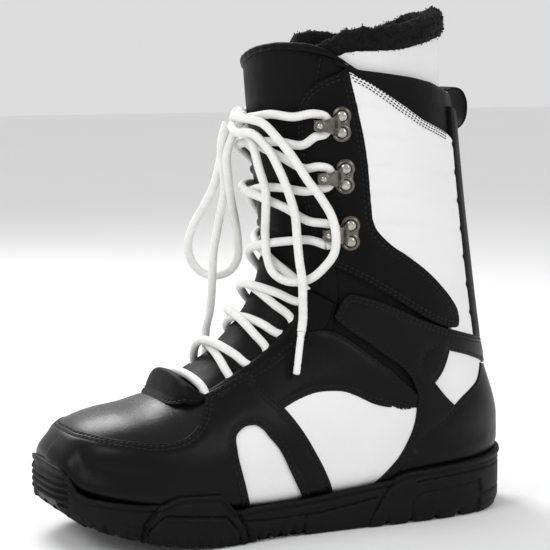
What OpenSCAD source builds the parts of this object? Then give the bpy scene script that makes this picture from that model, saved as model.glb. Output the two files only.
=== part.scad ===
// Snowboard boot, left foot, laced, with a removable liner.
// Toe towards -Y, heel towards +Y, outer (lateral) side towards +X, ground at z = 0.

/* [Upper] */
// Thickness of the outer shell
shell_t = 3; // [2.5:0.5:3.5]
// Thickness of the liner's foam
liner_t = 7; // [6:0.5:8]
// Clearance between the shell and the liner
liner_gap = 0.5; // [0.3:0.1:0.8]
// Gap between two panels that are sewn edge to edge
seam_gap = 0.3; // [0.2:0.1:0.5]
// Share of the shell's thickness that is leather where a stiffener backs it
leather_share = 0.6; // [0.5:0.05:0.7]

/* [Ankle] */
// Angle of the foot's edge of the flex notch, from +Y about the pivot
notch_low = 161; // [160:1:163]
// Angle of the cuff's edge of the flex notch, from +Y about the pivot
notch_high = 147; // [145:1:148]

/* [Sole] */
// Height of the midsole block above the ground
midsole_z = 7; // [6:0.5:8]
// Depth of the tread's grooves
tread_depth = 3; // [2:0.5:4]
// Distance from one tread groove to the next
tread_pitch = 11; // [10:1:16]
// Thickness of the footbed
footbed_t = 4; // [3:0.5:5]

/* [Laces] */
// Diameter of the round lace
lace_d = 5.4; // [4.6:0.2:5.6]
// Diameter of the lace's plastic tip
aglet_d = 4.4; // [4:0.2:4.6]
// Length of the lace's plastic tip
aglet_len = 26; // [18:1:30]

/* [Mesh] */
// Rings along the upper, from toe to top
rings = 30; // [26:2:34]
// Points round each ring of the upper
ring_points = 26; // [24:2:30]

/* [Hidden] */

// Stations of the upper's outer surface, from the toe's tip to above the collar. Each is the
// front or top point (y, z), the back or bottom point (y, z), the half width, the share of the
// height at which the ring is widest, the exponents of its upper, lower and side curves, and
// how far its middle lies from x = 0.
STATIONS = [
  [-145, 50, -144, 44, 6, 0.50, 1.00, 1.00, 1.00, -6],
  [-141, 61, -140, 37, 25, 0.45, 0.90, 0.75, 0.95, -6],
  [-131, 71, -130, 31, 40, 0.42, 0.80, 0.50, 0.88, -5],
  [-114, 76.5, -111, 25, 51, 0.38, 0.80, 0.40, 0.82, -3],
  [-93, 80.5, -88, 20, 55, 0.36, 0.85, 0.38, 0.82, -1],
  [-70, 88, -55, 17, 55, 0.36, 0.92, 0.38, 0.84, 0],
  [-49, 102, -15, 16, 52, 0.36, 1.00, 0.38, 0.88, 0],
  [-32, 117, 30, 16, 50, 0.38, 1.00, 0.40, 0.90, 0],
  [-20, 131, 80, 18, 49, 0.42, 1.00, 0.45, 0.92, 0],
  [-12, 146, 134, 24, 49, 0.46, 1.00, 0.65, 0.94, 0],
  [-8, 161, 152, 50, 49, 0.48, 1.00, 0.90, 0.97, 0],
  [-7, 177, 144.5, 86, 50, 0.50, 1.00, 1.00, 1.00, 0],
  [-9, 198, 138, 120, 51, 0.50, 1.00, 1.00, 1.00, 0],
  [-12, 226, 131.5, 160, 52, 0.50, 1.00, 1.00, 0.98, 0],
  [-15, 258, 124.5, 205, 54, 0.50, 1.00, 1.00, 0.96, 0],
  [-17, 292, 118, 258, 56, 0.50, 1.00, 1.00, 0.95, 0],
  [-18, 322, 116, 308, 56, 0.50, 1.00, 1.00, 0.95, 0],
  [-19, 352, 115, 356, 56, 0.50, 1.00, 1.00, 0.95, 0]
];
TOP_T = 16;
ABOVE_T = 17;

// Clearance that keeps two curved skins apart, and the upper clear of the sole
skin_gap = 0.4;
sole_gap = 0.8;

// The ankle's flex axis runs along X through this point (y, z).
PIVOT = [78.6, 128.3];
FAR = 200;

// ---------- surface of the upper ----------

function spline(a, b, c, d, u) =
  0.5 * (2 * b + (c - a) * u + (2 * a - 5 * b + 4 * c - d) * u * u
         + (3 * b - a - 3 * c + d) * u * u * u);

function along(table, t) =
  let (n = len(table) - 1, q = max(0, min(n - 0.0001, t)), i = floor(q))
  spline(table[max(i - 1, 0)], table[i], table[i + 1], table[min(i + 2, n)], q - i);

function unit(v) = v / norm(v);

// The station at t, moved inwards by depth
function station(t, depth) =
  let (
    s = along(STATIONS, t),
    a = along(STATIONS, t - 0.02),
    b = along(STATIONS, t + 0.02),
    front = unit([b[0] - a[0], b[1] - a[1]]),
    back = unit([b[2] - a[2], b[3] - a[3]])
  )
  [s[0] + depth * front[1], s[1] - depth * front[0],
   s[2] - depth * back[1], s[3] + depth * back[0],
   max(s[4] - depth, 0.5), s[5], s[6], s[7], s[8], s[9]];

// The point of a station's ring at the angle v: 0 is front or top, 90 is lateral
function ring_point(s, v) =
  let (
    c = cos(v),
    q = sin(v),
    h = c >= 0 ? s[5] + (1 - s[5]) * pow(c, s[6]) : s[5] - s[5] * pow(-c, s[7])
  )
  [s[9] + sign(q) * s[4] * pow(abs(q), s[8]),
   s[2] + (s[0] - s[2]) * h,
   s[3] + (s[1] - s[3]) * h];

// A point at the height h above the upper's surface
function on_upper(t, v, h) = ring_point(station(t, -h), v);

function upper_ring(t, depth) =
  let (s = station(t, depth))
  [for (j = [0 : ring_points - 1]) ring_point(s, 360 * j / ring_points)];

// A closed solid through a list of rings with the same number of points
module skin(loops) {
  n = len(loops[0]);
  last = len(loops) - 1;
  sides = [
    for (i = [0 : last - 1], j = [0 : n - 1])
      let (k = (j + 1) % n)
      each [[i * n + k, i * n + j, i * n + n + j], [i * n + k, i * n + n + j, i * n + n + k]]
  ];
  caps = [[for (j = [0 : n - 1]) j], [for (j = [0 : n - 1]) last * n + n - 1 - j]];
  polyhedron(points = [for (ring = loops) each ring], faces = concat(caps, sides));
}

// The upper's shape at a depth below its outer surface
module upper_solid(depth, from_t, to_t) {
  skin([for (i = [0 : rings - 1]) upper_ring(from_t + (to_t - from_t) * i / (rings - 1), depth)]);
}

// A wall between two depths, open at the top
module wall(outer, inner, inner_from = 0) {
  difference() {
    upper_solid(outer, 0, TOP_T);
    upper_solid(inner, inner_from, ABOVE_T);
  }
}

// ---------- outlines in side view, as (y, z) ----------

// The line from the pivot at an angle, out to a distance
function ray(angle, reach) = PIVOT + reach * [cos(angle), sin(angle)];

// Edge between the ankle strap and the cuff, from the pivot to the back
STRAP_BACK = [[102, 122.4], [128, 113.8], [160, 103]];
// Upper edge of the quarter, from the throat tab to behind the ankle
QUARTER_TOP = [
  [-62, 88], [-45, 94], [-28, 103.3], [-9, 113.6], [6, 123.4], [14.5, 126.5],
  [27.5, 118], [45.4, 106.5], [61.9, 95.1], [72.6, 82.6], [76, 69]
];
// Seam round the toe, from its front to the quarter
TOE_SEAM = [
  [-170, 71.5], [-133, 70.5], [-124, 67], [-112, 64.5], [-92, 64], [-78, 68.5], [-67, 76.5], [-62, 86]
];
// Front edge of the cuff's facing, from the notch up
FACING_FRONT = [[20.9, 165.8], [13.2, 171.4], [4.7, 202.7], [1.3, 232.4], [0.2, 262.8], [3, 276],
  [9.5, 281]];
// Seam between the cuff's facing and its side panel, from behind the ankle up
FACING_BACK = [[105, 121.4], [103, 132.5], [89.5, 145], [71, 159], [53.7, 172], [44, 184],
  [38.3, 202], [33, 233], [26.8, 265.7], [23.8, 282]];
// Top edge of the cuff's side panel, from front to back
SIDE_TOP = [[23.8, 282], [57, 261], [80, 249.7], [99, 241.7]];
// Rear edge of the cuff's side panel, from its top down
SIDE_BACK = [[99, 241.7], [112, 198], [123, 141], [128, 113.8]];
// Line under which the shell is the lasting board
BOARD_LINE = [[-170, 41], [-140, 31.5], [-120, 27], [-90, 23], [-50, 20], [30, 19], [80, 21.5],
  [130, 27.5], [170, 36]];
// Edge of the heel counter, from the ankle strap to the sole
COUNTER_EDGE = [[160, 98], [129, 98], [125, 85], [104, 71.6], [85, 50], [80, 30], [78, 10]];

FOREFOOT_WINDOW = [[-47, 69], [-41, 72], [-32, 71], [-23, 62], [-15, 47], [-7, 22], [-6, 10],
  [-39, 10], [-40, 23]];
MIDFOOT_WINDOW = [[-15, 79.6], [1, 85.2], [20, 87.4], [41, 80.2], [61.4, 73.4], [73, 70.5],
  [71, 64], [45, 28], [44, 10], [14, 10], [14, 26], [7, 46], [-4, 65]];
HEEL_WINDOW = [[102.8, 105.5], [129, 98], [125, 85], [104, 71.6], [89.6, 87]];

TOE_CAP = concat(TOE_SEAM, [[-50, 69], [-46, 10], [-170, 10]]);
VAMP = concat(TOE_SEAM, [[-64, 84], [-68, 83], [-84, 88], [-84, 120], [-170, 120]]);
THROAT_TAB = [[-84, 120], [-84, 88], [-68, 83], [-64, 85], [-61.5, 87], [-63, 95], [-66, 120]];
QUARTER = concat(QUARTER_TOP, [[78, 30], [79, 10], [-46, 10], [-50, 69]]);
STRAP = concat(
  [for (i = [5 : 10]) QUARTER_TOP[i]],
  [[78, 50], [79, 10], [78, 10], [80, 30], [85, 50], [104, 71.6], [89.6, 87], [102.8, 105.5],
   [129, 98], [160, 98], [160, 103], [128, 113.8], [102, 122.4], PIVOT,
   ray(notch_low, 46), [29.5, 144.4], [21.4, 131]]
);
COUNTER = concat(COUNTER_EDGE, [[170, 10], [170, 98]]);
TONGUE_LOW = concat(
  [[-66, 120], [-63, 97], [-61.5, 89]],
  [for (i = [1 : 5]) QUARTER_TOP[i]],
  [[21.4, 131], [29.5, 144.4], ray(notch_low, 52), ray(notch_low, 120)]
);
NOTCH_SIDE = [PIVOT, ray(notch_low, 52), [21, 150], [20.9, 165.8], ray(notch_high, 60)];
NOTCH_FRONT = [ray(notch_low, 120), ray(notch_low, 52), [20.4, 150], [20.4, 165.8],
  ray(notch_high, 120)];
// The last 6 mm of the tongue, which its binding covers
TONGUE_RIM = [[-40, 284], [-14, 285], [-6, 290], [4, 288], [11, 282.6], [17, 286.8],
  [6.5, 293.5], [-6, 296], [-14, 291], [-40, 290]];
TONGUE_HIGH = concat([ray(notch_high, 120)], FACING_FRONT, [[16, 287.5], [6.5, 293.5], [-6, 296],
  [-14, 291], [-40, 290]]);
FACING = concat([PIVOT], FACING_FRONT, [[16, 287.5], [23.8, 282]],
  [for (i = [len(FACING_BACK) - 2 : -1 : 0]) FACING_BACK[i]]);
SIDE = concat(FACING_BACK,
  [for (i = [1 : 3]) SIDE_TOP[i]], [for (i = [1 : 3]) SIDE_BACK[i]]);
COLLAR = concat(SIDE_TOP, [[160, 241.7], [160, 262], [118, 267], [99, 271], [57, 276], [30, 280]]);
BACKSTAY = concat(SIDE_BACK, [[160, 103], [160, 241.7]]);

// Everything that belongs to the foot, and everything that belongs to the cuff
FOOT_HALF = concat([ray(notch_low, 120), PIVOT], STRAP_BACK, [[170, 0], [-170, 0], [-170, 160]]);
CUFF_HALF = concat([ray(notch_high, 120), PIVOT], STRAP_BACK, [[160, 360], [-60, 360]]);
NOTCH = [ray(notch_low, 130), PIVOT, ray(notch_high, 130)];
LINER_TOP = [[-60, 268], [0, 272], [26, 280], [38, 287], [60, 292], [100, 300], [140, 303]];
FUR_TOP = [[-60, 280], [0, 284], [26, 292], [38, 301], [60, 306], [100, 316], [140, 318]];
LINER_TONGUE = [[-60, 150], [10, 150], [4, 184], [2, 200], [0, 230], [-3, 260], [-4, 300], [-60, 300]];

// ---------- cutting shapes ----------

// An outline in side view, extruded over the whole width
module across(outline, gap = seam_gap / 2) {
  rotate([90, 0, 90])
    linear_extrude(height = FAR, center = true)
      offset(delta = -gap) polygon(outline);
}

// The same, over the lateral half only
module lateral(outline, gap = seam_gap / 2) {
  rotate([90, 0, 90])
    translate([0, 0, seam_gap / 2])
      linear_extrude(height = FAR / 2)
        offset(delta = -gap) polygon(outline);
}

// The region above the lasting board's line
module above_board() {
  across(concat(BOARD_LINE, [[170, 400], [-170, 400]]));
}

module below_board() {
  across(concat(BOARD_LINE, [[170, -10], [-170, -10]]));
}

// ---------- panels of the shell ----------

module shell_panel(outline) {
  resize([0, 0, 0]) intersection() {
    wall(0, shell_t);
    lateral(outline);
    above_board();
  }
}

module full_panel(outline, outer = 0, inner = shell_t) {
  resize([0, 0, 0]) intersection() {
    wall(outer, inner);
    across(outline);
    above_board();
  }
}

module quarter_shape() {
  resize([0, 0, 0]) difference() {
    intersection() {
      wall(0, shell_t);
      lateral(QUARTER);
      above_board();
    }
    lateral(FOREFOOT_WINDOW, -seam_gap / 2);
    lateral(MIDFOOT_WINDOW, -seam_gap / 2);
    lateral(STRAP, -seam_gap / 2);
  }
}

module other_side() { mirror([1, 0, 0]) children(); }

module toe_cap() { color("#141414") full_panel(TOE_CAP, 0, shell_t * leather_share); }
module toe_stiffener() {
  color("#8a8a80") resize([0, 0, 0]) intersection() {
    wall(shell_t * leather_share + skin_gap, shell_t);
    across(TOE_CAP, 6);
    above_board();
  }
}
module vamp() { color("#191919") full_panel(VAMP); }
module throat_tab() { color("#101010") full_panel(THROAT_TAB, -1.2, shell_t); }
module quarter_lateral() { color("#161616") quarter_shape(); }
module quarter_medial() { color("#161616") other_side() quarter_shape(); }
module forefoot_window_lateral() { color("white") shell_panel(FOREFOOT_WINDOW); }
module forefoot_window_medial() { color("white") other_side() shell_panel(FOREFOOT_WINDOW); }
module midfoot_window_lateral() { color("white") shell_panel(MIDFOOT_WINDOW); }
module midfoot_window_medial() { color("white") other_side() shell_panel(MIDFOOT_WINDOW); }
module heel_window_lateral() { color("white") shell_panel(HEEL_WINDOW); }
module heel_window_medial() { color("white") other_side() shell_panel(HEEL_WINDOW); }
module ankle_strap_lateral() { color("#1c1c1c") shell_panel(STRAP); }
module ankle_strap_medial() { color("#1c1c1c") other_side() shell_panel(STRAP); }
module heel_counter() { color("#121212") full_panel(COUNTER, 0, shell_t * leather_share); }
module heel_stiffener() {
  color("#8a8a80") resize([0, 0, 0]) intersection() {
    wall(shell_t * leather_share + skin_gap, shell_t);
    across(COUNTER, 5);
    above_board();
  }
}
module tongue_lower() { color("#0e0e0e") full_panel(TONGUE_LOW, 0.8); }
module tongue_flex_zone() { color("#0a0a0a") full_panel(NOTCH_FRONT, 0.8); }
module tongue_upper() {
  color("#0e0e0e") resize([0, 0, 0]) difference() {
    intersection() {
      wall(0.8, shell_t);
      across(TONGUE_HIGH);
    }
    across(TONGUE_RIM, -seam_gap / 2);
  }
}
module tongue_binding() {
  color("#050505") resize([0, 0, 0]) intersection() {
    wall(0.2, shell_t);
    across(TONGUE_RIM);
    across(TONGUE_HIGH);
  }
}
module gusset_shape() {
  resize([0, 0, 0]) intersection() {
    wall(1.2, shell_t);
    lateral(NOTCH_SIDE);
  }
}
module ankle_gusset_lateral() { color("#080808") gusset_shape(); }
module ankle_gusset_medial() { color("#080808") other_side() gusset_shape(); }
module cuff_facing_lateral() { color("#131313") shell_panel(FACING); }
module cuff_facing_medial() { color("#131313") other_side() shell_panel(FACING); }
module cuff_side_lateral() { color("#f2f2f2") shell_panel(SIDE); }
module cuff_side_medial() { color("#f2f2f2") other_side() shell_panel(SIDE); }
module rear_collar() { color("#0c0c0c") full_panel(COLLAR); }
module backstay() { color("#1a1a1a") full_panel(BACKSTAY); }

// ---------- liner and footbed ----------

liner_out = shell_t + liner_gap;
liner_in = liner_out + liner_t;

module below(line) { across(concat(line, [[200, -10], [-200, -10]])); }
module above(line) { across(concat(line, [[200, 400], [-200, 400]])); }

// The liner's wall inside an outline, up to the fleece collar
module liner_part(outline) {
  intersection() {
    wall(liner_out, liner_in, 1);
    across(outline);
    below(LINER_TOP);
  }
}

module liner_foot() { color("#e8e8e8") resize([0, 0, 0]) liner_part(FOOT_HALF); }
module liner_flex_zone() { color("#dddddd") resize([0, 0, 0]) liner_part(NOTCH); }
module liner_cuff() {
  color("#ededed") resize([0, 0, 0]) difference() {
    liner_part(CUFF_HALF);
    across(LINER_TONGUE, -seam_gap / 2);
  }
}
module liner_tongue() {
  color("#e4e4e4") resize([0, 0, 0]) intersection() {
    liner_part(CUFF_HALF);
    across(LINER_TONGUE);
  }
}
module liner_collar() {
  color("#0d0d0d") resize([0, 0, 0]) intersection() {
    wall(liner_out, liner_in + 2, 1);
    above(LINER_TOP);
    below(FUR_TOP);
  }
}
module footbed() {
  color("#3a3a40") resize([0, 0, 0]) intersection() {
    upper_solid(liner_in + 3 * skin_gap, 1.2, 12);
    below([for (p = BOARD_LINE) p + [0, liner_in - shell_t / 2 + footbed_t]]);
  }
}
module lasting_board() {
  color("#5c5c52") resize([0, 0, 0]) intersection() {
    wall(0, shell_t);
    below_board();
  }
}

// ---------- sole ----------

// The sole's half width (y, lateral, medial), from the toe's tip to the back of the heel
SOLE_WIDTHS = [
  [-152, 4, -14], [-150, 18, -27], [-144.5, 31, -38], [-134.5, 42, -47], [-118, 52, -54],
  [-98, 57, -57], [-72, 58, -57], [-45, 55, -54], [-15, 52, -50], [20, 51, -48], [55, 51, -49],
  [90, 51, -50], [118, 46, -46], [138, 35, -35], [149, 20, -20], [154, 6, -6]
];
SOLE_STEPS = 30;
// Side view of the sole: the tread's rocker and the top edge
SOLE_SIDE = [
  [-156, 36], [-151, 27], [-146, 20.5], [-134, 14.5], [-114, 9], [-100, 5.5], [-83, 2.5], [-66, 0],
  [128, 0], [142, 1.5], [150, 5], [155, 12], [158, 28], [158, 38], [133, 36.5], [99, 34.5],
  [64, 32], [58, 28], [42, 27], [13, 24], [-7, 22.5], [-41, 21.5], [-50, 21], [-58, 28],
  [-62, 33], [-89, 34], [-99, 29.5], [-111, 30], [-128, 32], [-138, 33.5], [-143.5, 37.5],
  [-146, 43], [-149, 48.5], [-152, 50.5], [-156, 51]
];

function sole_row(i) = along(SOLE_WIDTHS, (len(SOLE_WIDTHS) - 1) * i / SOLE_STEPS);
function sole_outline() = concat(
  [for (i = [0 : SOLE_STEPS]) let (w = sole_row(i)) [w[1], w[0]]],
  [for (i = [SOLE_STEPS : -1 : 0]) let (w = sole_row(i)) [w[2], w[0]]]
);

module sole_block() {
  intersection() {
    linear_extrude(height = 70) polygon(sole_outline());
    across(SOLE_SIDE, 0);
  }
}

// The foam block under the upper
module midsole_block(grow) {
  translate([0, 0, midsole_z - grow])
    linear_extrude(height = 40) offset(delta = grow - 9) polygon(sole_outline());
}

SHANK = [24, 120, 1.6];
SHANK_Y = 25;
// The shank lies in a pocket in the midsole's underside
module shank_block(grow) {
  translate([0, SHANK_Y, midsole_z + SHANK[2] / 2 + 0.05])
    cube(SHANK + 2 * [grow, grow, grow], center = true);
}

module midsole_shape(grow) {
  intersection() {
    midsole_block(grow);
    across(SOLE_SIDE, 5 - grow);
  }
}

module outsole() {
  color("#181818") resize([0, 0, 0]) difference() {
    sole_block();
    upper_solid(-sole_gap, 0, 12);
    midsole_shape(0.15);
    for (y = [-59 : tread_pitch : 128])
      translate([0, y, 0]) cube([FAR, 3.5, 2 * tread_depth], center = true);
    for (side = [-1, 1])
      translate([side * 18, 0, 0]) cube([4, 2 * FAR, 2 * tread_depth - 1], center = true);
  }
}
module midsole() {
  color("#3c3c3c") resize([0, 0, 0]) difference() {
    midsole_shape(0);
    upper_solid(-sole_gap, 0, 12);
    shank_block(0.1);
  }
}
module shank() { color("#9a9a9a") shank_block(0); }

// ---------- lace hooks ----------

// Where each pair of hooks sits along the upper
HOOK_T = [12.18, 13.25, 14.12];
// Where the hooks' plates sit round the upper
HOOK_V = 62;
PLATE_T = 1.2;
PLATE_W = 11.5;
RIVET_Y = 5;
// Distance from the plate's middle to the hook's post, and the post's size
POST_X = 14;
POST = [1.6, 6, 7.8];

// The outward normal of the lateral surface
function upper_normal(t, v, h) =
  let (p = on_upper(t, v, h))
  unit(cross(on_upper(t, v + 3, h) - on_upper(t, v - 3, h), on_upper(t + 0.05, v, h) - p));

// A point beside a place on the lateral surface: x to the rear, y up, z along the normal
function beside_upper(t, v, h, q) =
  let (n = upper_normal(t, v, h), x = unit([-n[1], n[0], 0]))
  on_upper(t, v, h) + q[0] * x + q[1] * cross(n, x) + q[2] * n;

// Stands its children there, in the same axes
module stand_on_upper(t, v, h) {
  n = upper_normal(t, v, h);
  translate(on_upper(t, v, h))
    rotate([0, 0, atan2(n[1], n[0])])
      rotate([0, acos(n[2]), 0])
        rotate([0, 0, 90])
          children();
}

module hook() {
  difference() {
    union() {
      for (s = [-1, 1])
        translate([0, s * RIVET_Y, 0]) cylinder(d = PLATE_W, h = PLATE_T, $fn = 48);
      translate([-PLATE_W / 2, -RIVET_Y, 0]) cube([PLATE_W, 2 * RIVET_Y, PLATE_T]);
      linear_extrude(height = PLATE_T)
        polygon([[-2, 10], [-POST_X, 3.4], [-POST_X, -3.4], [-2, -10]]);
      translate([-POST_X, -POST[1] / 2, 0]) cube(POST);
      translate([-POST_X, -POST[1] / 2, POST[2]]) cube([9, POST[1], 1.4]);
    }
    for (s = [-1, 1])
      translate([0, s * RIVET_Y, -1]) cylinder(d = 4, h = 6, $fn = 32);
  }
}
module rivet() {
  cylinder(d = 3.9, h = PLATE_T + 0.2, $fn = 32);
  translate([0, 0, PLATE_T + 0.05])
    rotate_extrude($fn = 40)
      polygon([[0, 0], [3.4, 0], [3.1, 1.1], [2.3, 2], [1.2, 2.5], [0, 2.6]]);
}
module hook_set() {
  for (t = HOOK_T) stand_on_upper(t, HOOK_V, 0.3) hook();
}
module rivet_set() {
  for (t = HOOK_T, s = [-1, 1])
    stand_on_upper(t, HOOK_V, 0.3) translate([0, s * RIVET_Y, 0]) rivet();
}
module lace_hooks_lateral() { color("#6a6560") hook_set(); }
module lace_hooks_medial() { color("#6a6560") other_side() hook_set(); }
module hook_rivets_lateral() { color("#b8b2aa") rivet_set(); }
module hook_rivets_medial() { color("#b8b2aa") other_side() rivet_set(); }

// ---------- tubes ----------

function tangent(p, i) = unit(p[min(i + 1, len(p) - 1)] - p[max(i - 1, 0)]);
function first_normal(t) = unit(cross(t, abs(t[2]) < 0.9 ? [0, 0, 1] : [1, 0, 0]));
// One normal per point, each turned as little as possible from the one before
function normals(p, i = 0, last = undef) =
  let (
    t = tangent(p, i),
    n = is_undef(last) ? first_normal(t) : unit(last - (last * t) * t)
  )
  i == len(p) - 1 ? [n] : concat([n], normals(p, i + 1, n));
module tube(p, d, sides) {
  n = normals(p);
  skin([
    for (i = [0 : len(p) - 1])
      let (w = cross(tangent(p, i), n[i]))
      [for (k = [0 : sides - 1]) p[i] + d / 2 * (cos(360 * k / sides) * n[i] + sin(360 * k / sides) * w)]
  ]);
}
function reversed(p) = [for (i = [len(p) - 1 : -1 : 0]) p[i]];
function mirrored(p) = [for (q = p) [-q[0], q[1], q[2]]];

// ---------- the laces that are held ----------

// Where the lace enters and leaves each webbing loop, along the upper
LOOP_T = [[5.45, 6.1], [6.75, 7.4], [8.05, 8.65], [9.3, 9.9]];
// Where the lace meets the tongue's edges
LACE_V = 33;
// Height of the lace's middle above the upper
LACE_H = 3.4;
// Extra height of the strand that passes over at a crossing
OVER = 6.6;
// The lace's turn round a hook's post, beside the hook's plate
HOOK_TURN = [[-15, -6.6, 4.3], [-10.5, -5.4, 4.3], [-8.2, -2, 4.3], [-8.2, 2, 4.3], [-10.5, 5.4, 4.3],
  [-15, 6.6, 4.3]];
// Where the lace comes to a hook and leaves it: along the upper from the hook, and round it
LEAVE_LOW = -0.56;
LEAVE_HIGH = -0.12;
LEAVE_V = 41;

// A strand's run from one side at t0 to the other at t1; side is 1 where it starts lateral
function crossing(t0, t1, v0, v1, side, hump, from = 0, to = 1) = [
  for (f = [from : (to - from) / 6 : to + 0.001])
    on_upper(t0 + (t1 - t0) * f, side * (v0 - (v0 + v1) * f), LACE_H + hump * pow(sin(180 * f), 3))
];
// The lace's turn inside a webbing loop
function loop_turn(k, side) = [on_upper((LOOP_T[k][0] + LOOP_T[k][1]) / 2, side * 39, LACE_H)];
// The lace's turn round a hook's post
function hook_turn(k, side) = [
  for (q = HOOK_TURN)
    let (p = beside_upper(HOOK_T[k], HOOK_V, 0.3, q))
    [side * p[0], p[1], p[2]]
];
// Half of the lower lace, from the webbing loop at the toe up to the last one
function lower_half(side, hump) = concat(
  [on_upper(LOOP_T[0][0], side * LACE_V, LACE_H)],
  loop_turn(0, side),
  crossing(LOOP_T[0][1], LOOP_T[1][0], LACE_V, LACE_V, side, hump),
  loop_turn(1, -side),
  crossing(LOOP_T[1][1], LOOP_T[2][0], LACE_V, LACE_V, -side, hump),
  loop_turn(2, side),
  crossing(LOOP_T[2][1], LOOP_T[3][0], LACE_V, LACE_V, side, hump),
  loop_turn(3, -side),
  [on_upper(LOOP_T[3][1], -side * LACE_V, LACE_H)]
);
function lower_route() = concat(
  reversed(lower_half(-1, OVER)),
  [for (v = [-18, 0, 18]) on_upper(LOOP_T[0][0], v, LACE_H)],
  lower_half(1, 0)
);
function bridge_route(side, hump) =
  crossing(LOOP_T[3][1], HOOK_T[0] + LEAVE_LOW, LACE_V, LEAVE_V + 1, side, hump, 0.06, 0.97);
// Half of the upper lace, from the lowest hook to the knot
function upper_half(side, hump) = concat(
  hook_turn(0, side),
  crossing(HOOK_T[0] + LEAVE_HIGH, HOOK_T[1] + LEAVE_LOW, LEAVE_V, LEAVE_V, side, hump),
  hook_turn(1, -side),
  crossing(HOOK_T[1] + LEAVE_HIGH, HOOK_T[2] + LEAVE_LOW, LEAVE_V, LEAVE_V, -side, hump),
  hook_turn(2, side),
  [on_upper(14, side * 36, LACE_H), on_upper(13.95, side * 22, LACE_H + 1)],
  [for (out = [12, KNOT_OUT]) KNOT + out * unit([side * 0.9, 0.35, 0.1])]
);

module lace_lower() { color("#fafafa") tube(lower_route(), lace_d, 8); }
module lace_bridge() {
  color("#f4f4f4") {
    tube(bridge_route(-1, 0), lace_d, 8);
    tube(bridge_route(1, OVER), lace_d, 8);
  }
}
module lace_upper() {
  color("#fafafa") {
    tube(upper_half(1, 0), lace_d, 8);
    tube(upper_half(-1, OVER), lace_d, 8);
  }
}

LOOP_SIZE = [8, 8, 7.6];
module loop_set() {
  resize([0, 0, 0]) difference() {
    for (k = [0 : 3])
      stand_on_upper((LOOP_T[k][0] + LOOP_T[k][1]) / 2, 39, 0.5)
        translate([-LOOP_SIZE[0] / 2, -LOOP_SIZE[1] / 2, 0]) cube(LOOP_SIZE);
    children();
  }
}
module lace_loops_lateral() {
  color("#0b0b0b") loop_set() tube(lower_route(), lace_d + 1.2, 8);
}
module lace_loops_medial() {
  color("#0b0b0b") other_side() loop_set() tube(mirrored(lower_route()), lace_d + 1.2, 8);
}
module lace_keeper() {
  color("#77716a") stand_on_upper(13.25, 0, 0) translate([-6, -5, -0.65]) cube([12, 10, 0.5]);
}

// ---------- the bow ----------

// The knot's middle, its radius, and where the strands start
KNOT = [0, -24, 251];
KNOT_R = 6.5;
KNOT_OUT = 8.3;
// How each strand leaves the knot
LOOP_LATERAL_WAYS = [[0.8, -0.55, 0.1], [0.68, 0.1, -0.72]];
LOOP_MEDIAL_WAYS = [[-0.9, -0.1, -0.42], [-0.1, -0.3, -0.95]];
END_LATERAL_WAY = [0.35, -0.78, -0.52];
END_MEDIAL_WAY = [-0.5, -0.8, -0.33];

LOOP_LATERAL = [
  [19, -25, 251], [27, -21, 249], [34, -15, 241], [40, -7, 229], [45, 0, 216], [49, 8, 204],
  [53, 13, 193], [54, 15, 182], [52, 15, 172], [47, 11, 163], [41, 3, 155], [32, -8, 154],
  [24, -13, 159], [19, -14, 167], [18, -15, 180], [21, -16, 194], [23, -17, 208], [22, -21, 222],
  [17, -23, 236]
];
LOOP_MEDIAL = [
  [-12, -29, 237], [-16, -30, 224], [-21, -32, 209], [-25, -37, 196], [-29, -43, 183],
  [-32, -45, 171], [-34, -42, 161], [-34, -36, 154], [-32, -27, 151], [-29, -18, 154],
  [-26, -14, 162], [-23, -15, 173], [-18, -19, 186], [-10, -25, 199], [-3, -30, 213],
  [0, -32, 231]
];
END_LATERAL = [
  [13, -31, 243], [21, -26, 243], [28, -18, 234], [33, -13, 222], [36, -8, 208], [37, -4, 194],
  [38, -3, 180], [41, -3, 167], [44.5, -2.7, 155], [43.4, -1.8, 143], [43, -1.6, 131],
  [44, -3, 124]
];
END_MEDIAL = [
  [-4, -34, 237], [-8, -32, 224], [-14, -28, 207], [-17, -29, 194], [-19, -31, 180],
  [-22, -32, 168], [-24, -32, 155], [-30, -30, 141], [-38, -28, 127], [-44, -28, 116],
  [-45.5, -28, 108]
];

function leave(way) = KNOT + KNOT_OUT * unit(way);
function loop_route(ways, points) = concat([leave(ways[0])], points, [leave(ways[1])]);
function end_route(way, points) = concat([leave(way)], points);
// The tip goes on straight from the last two points of its end
module aglet(points) {
  last = points[len(points) - 1];
  way = unit(last - points[len(points) - 2]);
  tube([last + 0.2 * way, last + 8 * way, last + aglet_len * way], aglet_d, 12);
}

module lace_knot() {
  color("#fafafa") translate(KNOT) sphere(r = KNOT_R, $fn = 48);
}
module bow_loop_lateral() { color("#fafafa") tube(loop_route(LOOP_LATERAL_WAYS, LOOP_LATERAL), lace_d, 8); }
module bow_loop_medial() { color("#fafafa") tube(loop_route(LOOP_MEDIAL_WAYS, LOOP_MEDIAL), lace_d, 8); }
module lace_end_lateral() { color("#fafafa") tube(end_route(END_LATERAL_WAY, END_LATERAL), lace_d, 8); }
module lace_end_medial() { color("#fafafa") tube(end_route(END_MEDIAL_WAY, END_MEDIAL), lace_d, 8); }
module aglet_lateral() { color("#ffffff") aglet(END_LATERAL); }
module aglet_medial() { color("#ffffff") aglet(END_MEDIAL); }

// ---------- pull loop ----------

PULL_W = 20;
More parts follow.
